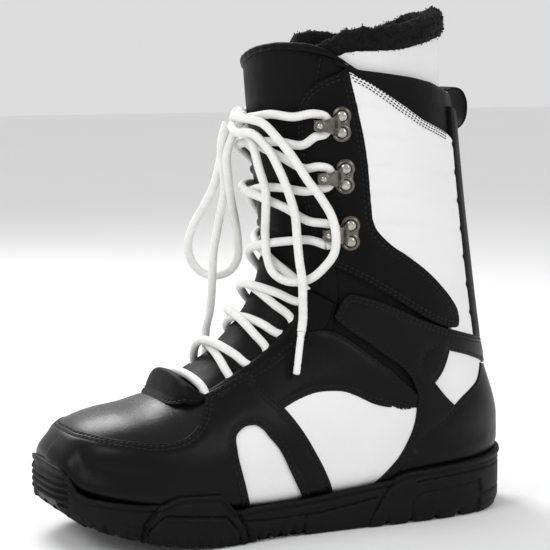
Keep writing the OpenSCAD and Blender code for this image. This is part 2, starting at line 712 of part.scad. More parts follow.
// Outer and inner line of the webbing, in side view
PULL_OUT = [[121.2, 268.5], [127, 268.5], [131.5, 265], [134, 259], [134.3, 253], [132.5, 247],
  [128.5, 242], [124.4, 239.5]];
PULL_IN = [[124.2, 242], [127.6, 244.4], [130.8, 248.5], [132.1, 253.3], [131.9, 258.4],
  [129.8, 263.2], [126.2, 266.4], [121.4, 266.4]];
module pull_loop() {
  color("#2b2b2b")
    rotate([90, 0, 90])
      linear_extrude(height = PULL_W, center = true) polygon(concat(PULL_OUT, PULL_IN));
}

outsole();
midsole();
shank();
lasting_board();
footbed();
toe_cap();
toe_stiffener();
vamp();
throat_tab();
quarter_lateral();
quarter_medial();
forefoot_window_lateral();
forefoot_window_medial();
midfoot_window_lateral();
midfoot_window_medial();
heel_window_lateral();
heel_window_medial();
ankle_strap_lateral();
ankle_strap_medial();
heel_counter();
heel_stiffener();
tongue_lower();
tongue_flex_zone();
tongue_upper();
tongue_binding();
lace_keeper();
ankle_gusset_lateral();
ankle_gusset_medial();
cuff_facing_lateral();
cuff_facing_medial();
cuff_side_lateral();
cuff_side_medial();
rear_collar();
backstay();
pull_loop();
lace_hooks_lateral();
lace_hooks_medial();
hook_rivets_lateral();
hook_rivets_medial();
lace_loops_lateral();
lace_loops_medial();
lace_lower();
lace_bridge();
lace_upper();
lace_knot();
bow_loop_lateral();
bow_loop_medial();
lace_end_lateral();
lace_end_medial();
aglet_lateral();
aglet_medial();
liner_foot();
liner_flex_zone();
liner_cuff();
liner_tongue();
liner_collar();
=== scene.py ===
import bpy
import math
import numpy as np
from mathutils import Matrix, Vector
from mathutils.geometry import delaunay_2d_cdt


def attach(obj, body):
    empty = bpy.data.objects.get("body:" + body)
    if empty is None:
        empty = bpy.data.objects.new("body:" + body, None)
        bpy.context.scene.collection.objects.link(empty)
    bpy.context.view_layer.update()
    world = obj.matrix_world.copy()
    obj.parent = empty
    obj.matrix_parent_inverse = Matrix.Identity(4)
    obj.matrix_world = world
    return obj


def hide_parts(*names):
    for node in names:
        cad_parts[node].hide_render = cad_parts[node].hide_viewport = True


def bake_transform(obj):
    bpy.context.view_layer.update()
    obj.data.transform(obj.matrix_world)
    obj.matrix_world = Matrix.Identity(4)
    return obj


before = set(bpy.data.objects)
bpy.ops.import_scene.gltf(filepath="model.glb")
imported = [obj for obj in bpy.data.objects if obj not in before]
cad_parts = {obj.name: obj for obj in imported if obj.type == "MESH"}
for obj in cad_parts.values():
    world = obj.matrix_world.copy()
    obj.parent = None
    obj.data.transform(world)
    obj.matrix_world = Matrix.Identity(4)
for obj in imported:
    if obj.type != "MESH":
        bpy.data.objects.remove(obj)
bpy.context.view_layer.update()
rng = np.random.default_rng(11)

# Lengths are in millimetres until a mesh is made.
MM = 0.001


# ---------- camera ----------

def unit(v):
    v = np.asarray(v, float)
    return v / np.maximum(np.linalg.norm(v, axis=-1, keepdims=True), 1e-12)


AIM, DISTANCE, LENS = Vector((0, 0, 0.1535)), 1.21, 127.6
az, el = math.radians(65), math.radians(7)
camera = bpy.data.objects.new("camera", bpy.data.cameras.new("camera"))
camera.data.lens = LENS
camera.data.sensor_width = 36
camera.location = AIM + DISTANCE * Vector((math.sin(az) * math.cos(el), -math.cos(az) * math.cos(el), math.sin(el)))
camera.rotation_euler = (AIM - camera.location).to_track_quat("-Z", "Y").to_euler()
bpy.context.collection.objects.link(camera)
bpy.context.scene.camera = camera


# ---------- surface of the upper, as in the CAD source ----------

STATIONS = np.array([
    [-145, 50, -144, 44, 6, 0.50, 1.00, 1.00, 1.00, -6],
    [-141, 61, -140, 37, 25, 0.45, 0.90, 0.75, 0.95, -6],
    [-131, 71, -130, 31, 40, 0.42, 0.80, 0.50, 0.88, -5],
    [-114, 76.5, -111, 25, 51, 0.38, 0.80, 0.40, 0.82, -3],
    [-93, 80.5, -88, 20, 55, 0.36, 0.85, 0.38, 0.82, -1],
    [-70, 88, -55, 17, 55, 0.36, 0.92, 0.38, 0.84, 0],
    [-49, 102, -15, 16, 52, 0.36, 1.00, 0.38, 0.88, 0],
    [-32, 117, 30, 16, 50, 0.38, 1.00, 0.40, 0.90, 0],
    [-20, 131, 80, 18, 49, 0.42, 1.00, 0.45, 0.92, 0],
    [-12, 146, 134, 24, 49, 0.46, 1.00, 0.65, 0.94, 0],
    [-8, 161, 152, 50, 49, 0.48, 1.00, 0.90, 0.97, 0],
    [-7, 177, 144.5, 86, 50, 0.50, 1.00, 1.00, 1.00, 0],
    [-9, 198, 138, 120, 51, 0.50, 1.00, 1.00, 1.00, 0],
    [-12, 226, 131.5, 160, 52, 0.50, 1.00, 1.00, 0.98, 0],
    [-15, 258, 124.5, 205, 54, 0.50, 1.00, 1.00, 0.96, 0],
    [-17, 292, 118, 258, 56, 0.50, 1.00, 1.00, 0.95, 0],
    [-18, 322, 116, 308, 56, 0.50, 1.00, 1.00, 0.95, 0],
    [-19, 352, 115, 356, 56, 0.50, 1.00, 1.00, 0.95, 0],
], float)


def along(table, t):
    """A row of the table at t, by a smooth curve through its rows"""
    n = len(table) - 1
    q = np.clip(np.asarray(t, float), 0, n - 1e-4)
    i = np.floor(q).astype(int)
    u = (q - i)[..., None]
    a, b, c, d = (table[np.clip(i + k, 0, n)] for k in (-1, 0, 1, 2))
    return 0.5 * (2 * b + (c - a) * u + (2 * a - 5 * b + 4 * c - d) * u * u + (3 * b - a - 3 * c + d) * u**3)


def upper(t, v, h=0.0):
    """The upper's surface: t runs from the toe to the top, v round it from the front, h outwards"""
    t, v, h = np.broadcast_arrays(*(np.asarray(x, float) for x in (t, v, h)))
    s = along(STATIONS, t).copy()
    d = along(STATIONS, t + 0.02) - along(STATIONS, t - 0.02)
    for y, z, way in ((0, 1, 1), (2, 3, -1)):
        run = np.maximum(np.hypot(d[..., y], d[..., z]), 1e-9)
        s[..., y] -= way * h * d[..., z] / run
        s[..., z] += way * h * d[..., y] / run
    s[..., 4] = np.maximum(s[..., 4] + h, 0.5)
    c, q = np.cos(np.radians(v)), np.sin(np.radians(v))
    up = np.abs(c)
    share = np.where(c >= 0, s[..., 5] + (1 - s[..., 5]) * up ** s[..., 6], s[..., 5] - s[..., 5] * up ** s[..., 7])
    return np.stack([s[..., 9] + np.sign(q) * s[..., 4] * np.abs(q) ** s[..., 8],
                     s[..., 2] + (s[..., 0] - s[..., 2]) * share,
                     s[..., 3] + (s[..., 1] - s[..., 3]) * share], -1)


# A flat chart of the surface, close to its true lengths
T_TAB = np.linspace(0, 17, 1701)
P_TAB = np.concatenate([[0], np.cumsum(np.linalg.norm(np.diff(upper(T_TAB, 65.0), axis=0), axis=1))])
Q = 0.95


def chart(tv):
    tv = np.asarray(tv, float).reshape(-1, 2)
    return np.stack([np.interp(tv[:, 0], T_TAB, P_TAB), tv[:, 1] * Q], 1)


# Outline of the sole (y, lateral, medial), and the heights of its top and bottom edges along y
SOLE_WIDTHS = np.array([
    [-152, 4, -14], [-150, 18, -27], [-144.5, 31, -38], [-134.5, 42, -47], [-118, 52, -54], [-98, 57, -57],
    [-72, 58, -57], [-45, 55, -54], [-15, 52, -50], [20, 51, -48], [55, 51, -49], [90, 51, -50], [118, 46, -46],
    [138, 35, -35], [149, 20, -20], [154, 6, -6]], float)
SOLE_TOP = np.array([(-156, 51), (-152, 50.5), (-149.5, 49), (-147.5, 46.5), (-145, 41), (-143.3, 37), (-138, 33.5),
                     (-128, 32),
                     (-111, 30), (-99, 29.6), (-96.5, 30.4), (-90, 33.6), (-88, 34), (-64, 33), (-61.5, 32),
                     (-52, 21.5),
                     (-49, 20.8), (-41, 21.8), (-7, 22.5), (13, 24), (42, 27), (56, 28.2), (58.5, 29.5), (63, 32),
                     (70, 32.8),
                     (99, 34.5), (133, 36.5), (154, 37.5)])
SOLE_LOW = np.array([(-156, 36), (-151.5, 29), (-149, 24.5), (-146, 20.5), (-134, 14.5), (-114, 9), (-100, 5.7),
                     (-83, 3),
                     (-66, 1.2), (-50, 0.6), (128, 0.6), (142, 2), (150, 5), (155, 8)])


def sole_line(step=1.0):
    w = along(SOLE_WIDTHS, np.linspace(0, 15, 1200))
    loop = np.concatenate([w[:, [1, 0]], w[::-1][:, [2, 0]]])
    loop = np.concatenate([loop, loop[:1]])
    s = np.concatenate([[0], np.cumsum(np.linalg.norm(np.diff(loop, axis=0), axis=1))])
    at = np.linspace(0, s[-1], int(s[-1] / step) + 1)[:-1]
    return np.stack([np.interp(at, s, loop[:, 0]), np.interp(at, s, loop[:, 1])], 1)


def from_spine(p):
    """A place round the foot's middle line, the distance from that line and the direction away from it"""
    x, y = p[..., 0], p[..., 1]
    mid = np.clip(y, -98, 100)
    d = np.stack([x, y - mid], -1)
    r = np.maximum(np.hypot(d[..., 0], d[..., 1]), 1e-6)
    d = d / r[..., None]
    return mid + 50 * np.arcsin(np.clip(d[..., 1], -1, 1)), r, d


def flare_table():
    """How far the upper stands inside the sole's lip, round each side"""
    edge = sole_line(2.0)
    place, reach, _ = from_spine(edge)
    top = np.interp(edge[:, 1], SOLE_TOP[:, 0], SOLE_TOP[:, 1])
    t, v = np.meshgrid(np.linspace(0.2, 11.3, 420), np.linspace(0, 358, 180))
    skin = upper(t, v, 1.2).reshape(-1, 3)
    skin = skin[skin[:, 2] < 66]
    where, r, _ = from_spine(skin)
    tables = []
    for side in (1, -1):
        e = np.sign(edge[:, 0]) == side
        rows = []
        for k, reach_k, z in sorted(zip(place[e], reach[e], top[e])):
            near = (np.sign(skin[:, 0]) == side) & (np.abs(where - k) < 3) & (np.abs(skin[:, 2] - z - 1) < 2.5)
            gap = reach_k - 1.5 - r[near].max() if near.any() else 0
            rows.append([k, np.clip(gap, 0, 8), z])
        rows = np.array(rows)
        for _ in range(3):
            rows[:, 1] = np.convolve(np.pad(rows[:, 1], 10, "edge"), np.ones(21) / 21, "valid")
        tables.append(rows)
    return tables


FLARE = flare_table()


def flare(p):
    """The leather's foot, spread out to meet the lip of the sole"""
    place, r, d = from_spine(p)
    z = p[..., 2]
    out = np.zeros_like(z)
    for side, tab in zip((1, -1), FLARE):
        gap = np.interp(place, tab[:, 0], tab[:, 1])
        top = np.interp(place, tab[:, 0], tab[:, 2])
        f = np.clip((top + 19 - z) / 18, 0, 1)
        f = f * f * (3 - 2 * f) * np.clip((r - 12) / 15, 0, 1)
        out = np.where(p[..., 0] * side > 0, gap * f, out)
    move = out[..., None] * d
    return p + np.concatenate([move, np.zeros_like(move[..., :1])], -1)


def on(pq, h=0.0):
    return flare(upper(np.interp(pq[..., 0], P_TAB, T_TAB), pq[..., 1] / Q, h))


def axes(pq):
    """The chart's two directions on the surface, and its outward normal"""
    e = 0.6
    a = (on(pq + [e, 0]) - on(pq - [e, 0])) / (2 * e)
    b = (on(pq + [0, e]) - on(pq - [0, e])) / (2 * e)
    return a, b, unit(np.cross(a, b))


def smooth(points, step=1.2):
    """Points step apart on a smooth curve through the given ones"""
    p = np.asarray(points, float)
    if len(p) < 3:
        n = max(int(np.ceil(np.linalg.norm(p[-1] - p[0]) / step)), 1)
        return p[0] + (p[-1] - p[0]) * np.linspace(0, 1, n + 1)[:, None]
    run = np.maximum(np.linalg.norm(np.diff(p, axis=0), axis=1), 1e-6)
    slope = np.diff(p, axis=0) / run[:, None]
    m = np.empty_like(p)
    m[1:-1] = (slope[:-1] * run[1:, None] + slope[1:] * run[:-1, None]) / (run[:-1] + run[1:])[:, None]
    m[0] = 1.5 * slope[0] - 0.5 * m[1]
    m[-1] = 1.5 * slope[-1] - 0.5 * m[-2]
    out = []
    for i in range(len(run)):
        u = np.linspace(0, 1, max(int(np.ceil(run[i] / 0.25)), 2), endpoint=False)[:, None]
        out.append((2 * u**3 - 3 * u**2 + 1) * p[i] + (u**3 - 2 * u**2 + u) * run[i] * m[i]
                   + (3 * u**2 - 2 * u**3) * p[i + 1] + (u**3 - u**2) * run[i] * m[i + 1])
    return resample(np.concatenate(out + [p[-1:]]), step)


def resample(p, step):
    s = np.concatenate([[0], np.cumsum(np.linalg.norm(np.diff(p, axis=0), axis=1))])
    n = max(int(round(s[-1] / step)), 1)
    at = np.linspace(0, s[-1], n + 1)
    return np.stack([np.interp(at, s, p[:, k]) for k in range(p.shape[1])], 1)


# ---------- materials ----------

def look(name, color, other, rough, patches, bumps=(), metallic=0.0, sheen=0.0, coat=0.0, coat_rough=0.2, specular=0.5):
    """A procedural finish: colour and gloss vary in patches, and bumps are (kind, scale, depth in mm)"""
    m = bpy.data.materials.new(name)
    m.use_nodes = True
    nodes, links = m.node_tree.nodes, m.node_tree.links
    shader = nodes["Principled BSDF"]
    place = nodes.new("ShaderNodeTexCoord").outputs["Object"]

    def feed(node, **inputs):
        """Give a node's inputs their values or other nodes' outputs"""
        for key, value in inputs.items():
            socket = node.inputs[key.replace("_", " ")]
            if isinstance(value, bpy.types.NodeSocket):
                links.new(value, socket)
            else:
                socket.default_value = value
        return node

    def noise(scale, detail, roughness=0.55):
        return feed(nodes.new("ShaderNodeTexNoise"), Vector=place, Scale=scale, Detail=detail,
                    Roughness=roughness).outputs["Fac"]

    def spread(value, **limits):
        return feed(nodes.new("ShaderNodeMapRange"), Value=value, **limits).outputs["Result"]

    mix = nodes.new("ShaderNodeMix")
    mix.data_type = "RGBA"
    feed(mix, Factor=spread(noise(patches, 5.0), From_Min=0.32, From_Max=0.68), A=(*color, 1), B=(*other, 1))
    gloss = spread(noise(patches * 4.3, 6.0), From_Min=0.3, From_Max=0.7, To_Min=rough[0], To_Max=rough[1])
    feed(shader, Base_Color=mix.outputs["Result"], Roughness=gloss, Metallic=metallic, Specular_IOR_Level=specular,
         Sheen_Weight=sheen, Sheen_Roughness=0.4, Coat_Weight=coat, Coat_Roughness=coat_rough)
    normal = None
    for kind, scale, depth in bumps:
        if kind == "cells":
            tex = nodes.new("ShaderNodeTexVoronoi")
            tex.feature = "DISTANCE_TO_EDGE"
            height = spread(feed(tex, Scale=scale, Vector=place).outputs["Distance"], From_Max=0.25)
        elif kind == "weave":
            turned = feed(nodes.new("ShaderNodeMapping"), Rotation=(0.4, 0.5, 0.78), Vector=place).outputs["Vector"]
            join = nodes.new("ShaderNodeMath")
            join.operation = "MULTIPLY"
            for k, way in enumerate("XY"):
                tex = nodes.new("ShaderNodeTexWave")
                tex.bands_direction = way
                links.new(feed(tex, Scale=scale, Vector=turned).outputs["Fac"], join.inputs[k])
            height = join.outputs["Value"]
        else:
            height = noise(scale, 6.0 if kind == "rough" else 2.5, 0.6)
        bump = feed(nodes.new("ShaderNodeBump"), Strength=1.0, Distance=depth * MM, Height=height)
        if normal:
            feed(bump, Normal=normal)
        normal = bump.outputs["Normal"]
    if normal:
        feed(shader, Normal=normal)
    return m


BLACK_LEATHER = look("black_leather", (0.0036, 0.0036, 0.0039), (0.0026, 0.0026, 0.0028), (0.29, 0.36), patches=22,
                     bumps=(("noise", 50, 0.3), ("cells", 900, 0.03), ("rough", 420, 0.03)), specular=0.13)
GLOSS_LEATHER = look("gloss_leather", (0.0040, 0.0040, 0.0043), (0.0028, 0.0028, 0.0030), (0.25, 0.29), patches=25,
                     bumps=(("noise", 45, 0.2), ("cells", 800, 0.03)), specular=0.24)
MATT_LEATHER = look("matt_leather", (0.0034, 0.0034, 0.0037), (0.0024, 0.0024, 0.0026), (0.42, 0.52), patches=30,
                    bumps=(("noise", 70, 0.4), ("cells", 1000, 0.05), ("rough", 500, 0.04)), specular=0.09)
WHITE_LEATHER = look("white_leather", (0.84, 0.84, 0.845), (0.81, 0.81, 0.82), (0.42, 0.54), patches=18,
                     bumps=(("noise", 45, 0.35), ("cells", 1100, 0.03), ("rough", 500, 0.03)), specular=0.3)
BLACK_FABRIC = look("black_fabric", (0.004, 0.004, 0.0042), (0.0025, 0.0025, 0.003), (0.75, 0.9), patches=60,
                    bumps=(("weave", 420, 0.15), ("rough", 700, 0.05)), specular=0.2)
PADDED_BLACK = look("padded_black", (0.0036, 0.0036, 0.0039), (0.0025, 0.0025, 0.0027), (0.38, 0.48), patches=26,
                    bumps=(("noise", 90, 0.5), ("cells", 1200, 0.04), ("rough", 600, 0.04)), specular=0.1)
LINER_WHITE = look("liner_white", (0.80, 0.80, 0.805), (0.76, 0.76, 0.77), (0.5, 0.65), patches=20,
                   bumps=(("noise", 50, 0.4), ("weave", 500, 0.06)), specular=0.3)
THREAD_BLACK = look("thread_black", (0.0065, 0.0065, 0.0065), (0.004, 0.004, 0.004), (0.45, 0.6), patches=400,
                    bumps=(("noise", 2500, 0.05),), specular=0.22)
WEBBING = look("webbing", (0.006, 0.006, 0.007), (0.003, 0.003, 0.004), (0.55, 0.7), patches=150,
               bumps=(("weave", 700, 0.25), ("rough", 900, 0.08)), sheen=0.03, specular=0.12)
LACE_WHITE = look("lace_white", (0.86, 0.86, 0.85), (0.78, 0.78, 0.77), (0.65, 0.8), patches=220,
                  bumps=(("rough", 1500, 0.1),), specular=0.3)
AGLET = look("aglet_plastic", (0.88, 0.88, 0.88), (0.84, 0.84, 0.84), (0.12, 0.2), patches=90,
             bumps=(("noise", 500, 0.1),), coat=0.5, coat_rough=0.08)
NICKEL = look("dark_nickel", (0.20, 0.185, 0.17), (0.10, 0.092, 0.085), (0.20, 0.32), metallic=1.0, patches=160,
              bumps=(("rough", 900, 0.04),))
RIVET = look("rivet_metal", (0.55, 0.53, 0.50), (0.34, 0.32, 0.30), (0.10, 0.20), metallic=1.0, patches=300,
             bumps=(("rough", 700, 0.03),))
FLEECE = look("fleece_pile", (0.004, 0.004, 0.0043), (0.010, 0.010, 0.011), (0.85, 0.98), patches=500,
              bumps=(("rough", 600, 0.8),), sheen=0.05, specular=0.12)
RUBBER = look("sole_rubber", (0.0055, 0.0055, 0.006), (0.0038, 0.0038, 0.0042), (0.48, 0.60), patches=35,
              bumps=(("rough", 650, 0.06), ("noise", 90, 0.15)), specular=0.12)
FOAM = look("foam", (0.10, 0.10, 0.10), (0.07, 0.07, 0.07), (0.8, 0.95), patches=90, bumps=(("cells", 700, 0.2),))
BOARD = look("fibre_board", (0.25, 0.24, 0.20), (0.18, 0.17, 0.15), (0.75, 0.9), patches=120,
             bumps=(("rough", 500, 0.1),))
STEEL = look("shank_steel", (0.55, 0.55, 0.55), (0.42, 0.42, 0.43), (0.3, 0.42), metallic=1.0, patches=80,
             bumps=(("rough", 600, 0.03),))
FOOTBED = look("footbed_knit", (0.06, 0.06, 0.07), (0.04, 0.04, 0.045), (0.75, 0.9), patches=70,
               bumps=(("weave", 450, 0.2),), sheen=0.2)
SHEET = look("stiffener_sheet", (0.5, 0.5, 0.46), (0.42, 0.42, 0.38), (0.6, 0.75), patches=60,
             bumps=(("rough", 300, 0.1),))


# ---------- meshes ----------

def make(name, parts, body=None, nodes=(), sharp=None):
    """One object from parts of (points, faces, material), on a body and in place of CAD nodes"""
    points, faces, which, mats = [], [], [], []
    start = 0
    for p, f, mat in parts:
        p = np.asarray(p, float).reshape(-1, 3)
        if mat not in mats:
            mats.append(mat)
        points.append(p)
        faces += [[int(i) + start for i in face] for face in f]
        which += [mats.index(mat)] * len(f)
        start += len(p)
    mesh = bpy.data.meshes.new(name)
    mesh.from_pydata((np.concatenate(points) * MM).tolist(), [], faces)
    for mat in mats:
        mesh.materials.append(mat)
    mesh.polygons.foreach_set("material_index", which)
    mesh.shade_smooth()
    if sharp:
        mesh.set_sharp_from_angle(angle=math.radians(sharp))
    mesh.validate()
    obj = bpy.data.objects.new(name, mesh)
    bpy.context.collection.objects.link(obj)
    if body:
        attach(obj, body)
    if nodes:
        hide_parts(*nodes)
    return obj


def grid(p, wrap=False, flip=False):
    """Faces of a grid of points, rows by columns, and its points in one list"""
    n, m = p.shape[:2]
    i, j = np.meshgrid(np.arange(n - 1), np.arange(m if wrap else m - 1), indexing="ij")
    k = (j + 1) % m
    quads = np.stack([i * m + j, i * m + k, (i + 1) * m + k, (i + 1) * m + j], -1).reshape(-1, 4)
    return p.reshape(-1, 3), (quads[:, ::-1] if flip else quads).tolist()


def closed_grid(outer, inner, wrap=False):
    """A shell between two grids, closed along its edges"""
    n, m = outer.shape[:2]
    rings = [outer, inner]
    p = np.concatenate([outer.reshape(-1, 3), inner.reshape(-1, 3)])
    faces = grid(outer, wrap)[1]
    back = [[i + n * m for i in f] for f in grid(inner, wrap, True)[1]]
    top, off = (n - 1) * m, n * m
    cols = range(m if wrap else m - 1)
    edge = [[j, j + off, (j + 1) % m + off, (j + 1) % m] for j in cols]
    edge += [[top + j, top + (j + 1) % m, top + (j + 1) % m + off, top + j + off] for j in cols]
    if not wrap:
        edge += [[i * m, (i + 1) * m, (i + 1) * m + off, i * m + off] for i in range(n - 1)]
        edge += [[i * m + m - 1, i * m + m - 1 + off, (i + 1) * m + m - 1 + off,
                  (i + 1) * m + m - 1] for i in range(n - 1)]
    return p, faces + back + edge


def loft(rings):
    """A solid through closed rings of points, capped at both ends"""
    p, f = grid(rings, wrap=True)
    k = rings.shape[1]
    return p, f + [list(range(k))[::-1], list(range((len(rings) - 1) * k, len(rings) * k))]


def frames(p):
    """Tangents and two normals along a line, turned as little as possible"""
    t = unit(np.gradient(p, axis=0))
    a = np.zeros_like(t)
    a[0] = unit(np.cross(t[0], [0, 0, 1.0] if abs(t[0][2]) < 0.9 else [1.0, 0, 0]))
    for i in range(1, len(t)):
        a[i] = unit(a[i - 1] - (a[i - 1] @ t[i]) * t[i])
    return t, a, np.cross(t, a)


def tube(line, radius, sides=14, strands=0, pitch=9.0, rise=0.22):
    """A round tube along a line; with strands, the surface is braided"""
    t, a, b = frames(line)
    s = np.concatenate([[0], np.cumsum(np.linalg.norm(np.diff(line, axis=0), axis=1))])
    th = np.linspace(0, 2 * np.pi, sides, endpoint=False)[None]
    r = np.broadcast_to(np.asarray(radius, float), (len(line),))[:, None] * np.ones_like(th)
    if strands:
        turn = 2 * np.pi * s[:, None] / pitch
        r = r - rise + rise * np.maximum(np.abs(np.sin(strands / 2 * (th + turn))),
                np.abs(np.sin(strands / 2 * (th - turn))))
    ring = line[:, None] + r[..., None] * (np.cos(th)[..., None] * a[:, None] + np.sin(th)[..., None] * b[:, None])
    p, f = grid(ring, wrap=True)
    n = len(line)
    caps = [list(range(sides))[::-1], list(range((n - 1) * sides, n * sides))]
    return p, [q[::-1] for q in f] + [c[::-1] for c in caps]


def band(line, side, width, thick, n=6):
    """A flat strap along a line; side is its width's direction at each point"""
    t = unit(np.gradient(line, axis=0))
    side = unit(side - (side * t).sum(1, keepdims=True) * t)
    up = np.cross(t, side)
    th = np.linspace(0, 2 * np.pi, 4 * n, endpoint=False)
    c, s = np.cos(th), np.sin(th)
    u = np.sign(c) * np.abs(c) ** 0.35 * width / 2
    w = np.sign(s) * np.abs(s) ** 0.6 * thick / 2
    ring = line[:, None] + u[None, :, None] * side[:, None] + w[None, :, None] * up[:, None]
    p, f = grid(ring, wrap=True)
    k = 4 * n
    return p, f + [list(range(k))[::-1], list(range((len(line) - 1) * k, len(line) * k))]


def lathe(profile, sides=28):
    """A closed turned shape from (radius, height) points, the axis first and last"""
    pr = np.asarray(profile, float)
    th = np.linspace(0, 2 * np.pi, sides, endpoint=False)
    rings = np.stack([pr[1:-1, 0, None] * np.cos(th), pr[1:-1, 0, None] * np.sin(th),
                      np.repeat(pr[1:-1, 1, None], sides, 1)], -1)
    p, f = grid(rings, wrap=True)
    a, b = len(p), len(p) + 1
    p = np.concatenate([p, [[0, 0, pr[0, 1]], [0, 0, pr[-1, 1]]]])
    last = (len(rings) - 1) * sides
    f += [[(i + 1) % sides, i, a] for i in range(sides)]
    f += [[last + i, last + (i + 1) % sides, b] for i in range(sides)]
    return p, f


def distance(x, line, closed=False):
    """From each point to a line of close points"""
    line = np.asarray(line)
    out = np.empty(len(x))
    m = len(line)
    for s in range(0, len(x), 2000):
        q = x[s:s + 2000]
        k = ((q**2).sum(1)[:, None] + (line**2).sum(1)[None] - 2 * q @ line.T).argmin(1)
        best = np.full(len(q), 1e9)
        for step in (-1, 1):
            j = (k + step) % m if closed else np.clip(k + step, 0, m - 1)
            a, ab = line[k], line[j] - line[k]
            u = np.clip(((q - a) * ab).sum(1) / np.maximum((ab**2).sum(1), 1e-9), 0, 1)
            best = np.minimum(best, np.linalg.norm(q - a - u[:, None] * ab, axis=1))
        out[s:s + 2000] = best
    return out


def inside(x, loop):
    hit = np.zeros(len(x), bool)
    for (x1, y1), (x2, y2) in zip(loop, np.roll(loop, -1, axis=0)):
        if y1 != y2:
            cross = (y1 > x[:, 1]) != (y2 > x[:, 1])
            hit ^= cross & (x[:, 0] < (x2 - x1) * (x[:, 1] - y1) / (y2 - y1) + x1)
    return hit


def shift(pq, s, closed=False):
    """A chart line moved s mm to its left, measured on the surface"""
    d = (np.roll(pq, -1, axis=0) - np.roll(pq, 1, axis=0)) if closed else np.gradient(pq, axis=0)
    a, b, n = axes(pq)
    t = unit(a * d[:, :1] + b * d[:, 1:])
    left = np.cross(n, t)
    aa, ab, bb = (a * a).sum(1), (a * b).sum(1), (b * b).sum(1)
    ra, rb = (a * left).sum(1), (b * left).sum(1)
    det = np.maximum(aa * bb - ab * ab, 1e-6)
    return pq + s * np.stack([(bb * ra - ab * rb) / det, (aa * rb - ab * ra) / det], 1)


def area(loop):
    x, y = loop.T
    return 0.5 * float((x * np.roll(y, -1) - np.roll(x, -1) * y).sum())


def outline(runs):
    """A closed chart line, anticlockwise, from runs of (t, v) points that end where the next starts.
    Each run is (points, offsets of its rows of stitches). Gives the loop and the rows."""
    full = []
    for k, (pts, rows) in enumerate(runs):
        nxt = runs[(k + 1) % len(runs)][0][0]
        line = chart(list(pts) + ([nxt] if tuple(pts[-1]) != tuple(nxt) else []))
        full.append((smooth(line, 1.1), rows))
    if area(np.concatenate([c[:-1] for c, _ in full])) < 0:
        full = [(c[::-1], rows) for c, rows in full[::-1]]
    loop = np.concatenate([c[:-1] for c, _ in full])
    border = on(loop)
    seams = []
    for c, rows in full:
        for s in rows:
            line = shift(resample(c, 0.8), s)
            ok = (distance(on(line), border, True) > 0.88 * s) & inside(line, loop)
            if ok.sum() > 4:
                seams.append(line[ok])
    return loop, seams


def stitches(lines, level, pitch=3.4, size=(2.6, 0.52, 0.42)):
    """Raised thread stitches along chart lines; level gives the height at chart points"""
    shape = []
    for x, r in ((-0.5, 0.0), (-0.42, 0.75), (-0.2, 1.0), (0.2, 1.0), (0.42, 0.75), (0.5, 0.0)):
        for k in range(6):
            shape.append([x * size[0], r * size[1] * math.cos(k * math.pi / 3),
                          r * size[2] * math.sin(k * math.pi / 3)])
    shape = np.array(shape)
    cell = [[r * 6 + k, r * 6 + (k + 1) % 6, (r + 1) * 6 + (k + 1) % 6,
             (r + 1) * 6 + k] for r in range(5) for k in range(6)]
    pts, faces = [], []
    start = 0
    for line in lines:
        xyz = on(line)
        s = np.concatenate([[0], np.cumsum(np.linalg.norm(np.diff(xyz, axis=0), axis=1))])
        n = int(s[-1] / pitch)
        if n < 2:
            continue
        at = (np.arange(n) + 0.5) * s[-1] / n
        pq = np.stack([np.interp(at, s, line[:, k]) for k in (0, 1)], 1)
        nxt = np.stack([np.interp(at + 0.4, s, line[:, k]) for k in (0, 1)], 1)
        prv = np.stack([np.interp(at - 0.4, s, line[:, k]) for k in (0, 1)], 1)
        h = level(pq)
        c = on(pq, h)
        t = unit(on(nxt, h) - on(prv, h))
        n3 = axes(pq)[2]
        n3 = unit(n3 - (n3 * t).sum(1, keepdims=True) * t)
        b = np.cross(n3, t)
        p = c[:, None] + shape[None, :, :1] * t[:, None] + shape[None, :, 1:2] * b[:, None] + shape[None, :,
                2:] * n3[:, None]
        pts.append(p.reshape(-1, 3))
        for k in range(len(c)):
            faces += [[i + start + 36 * k for i in f] for f in cell]
        start += 36 * len(c)
    if not pts:
        return None
    return np.concatenate(pts), faces, THREAD_BLACK


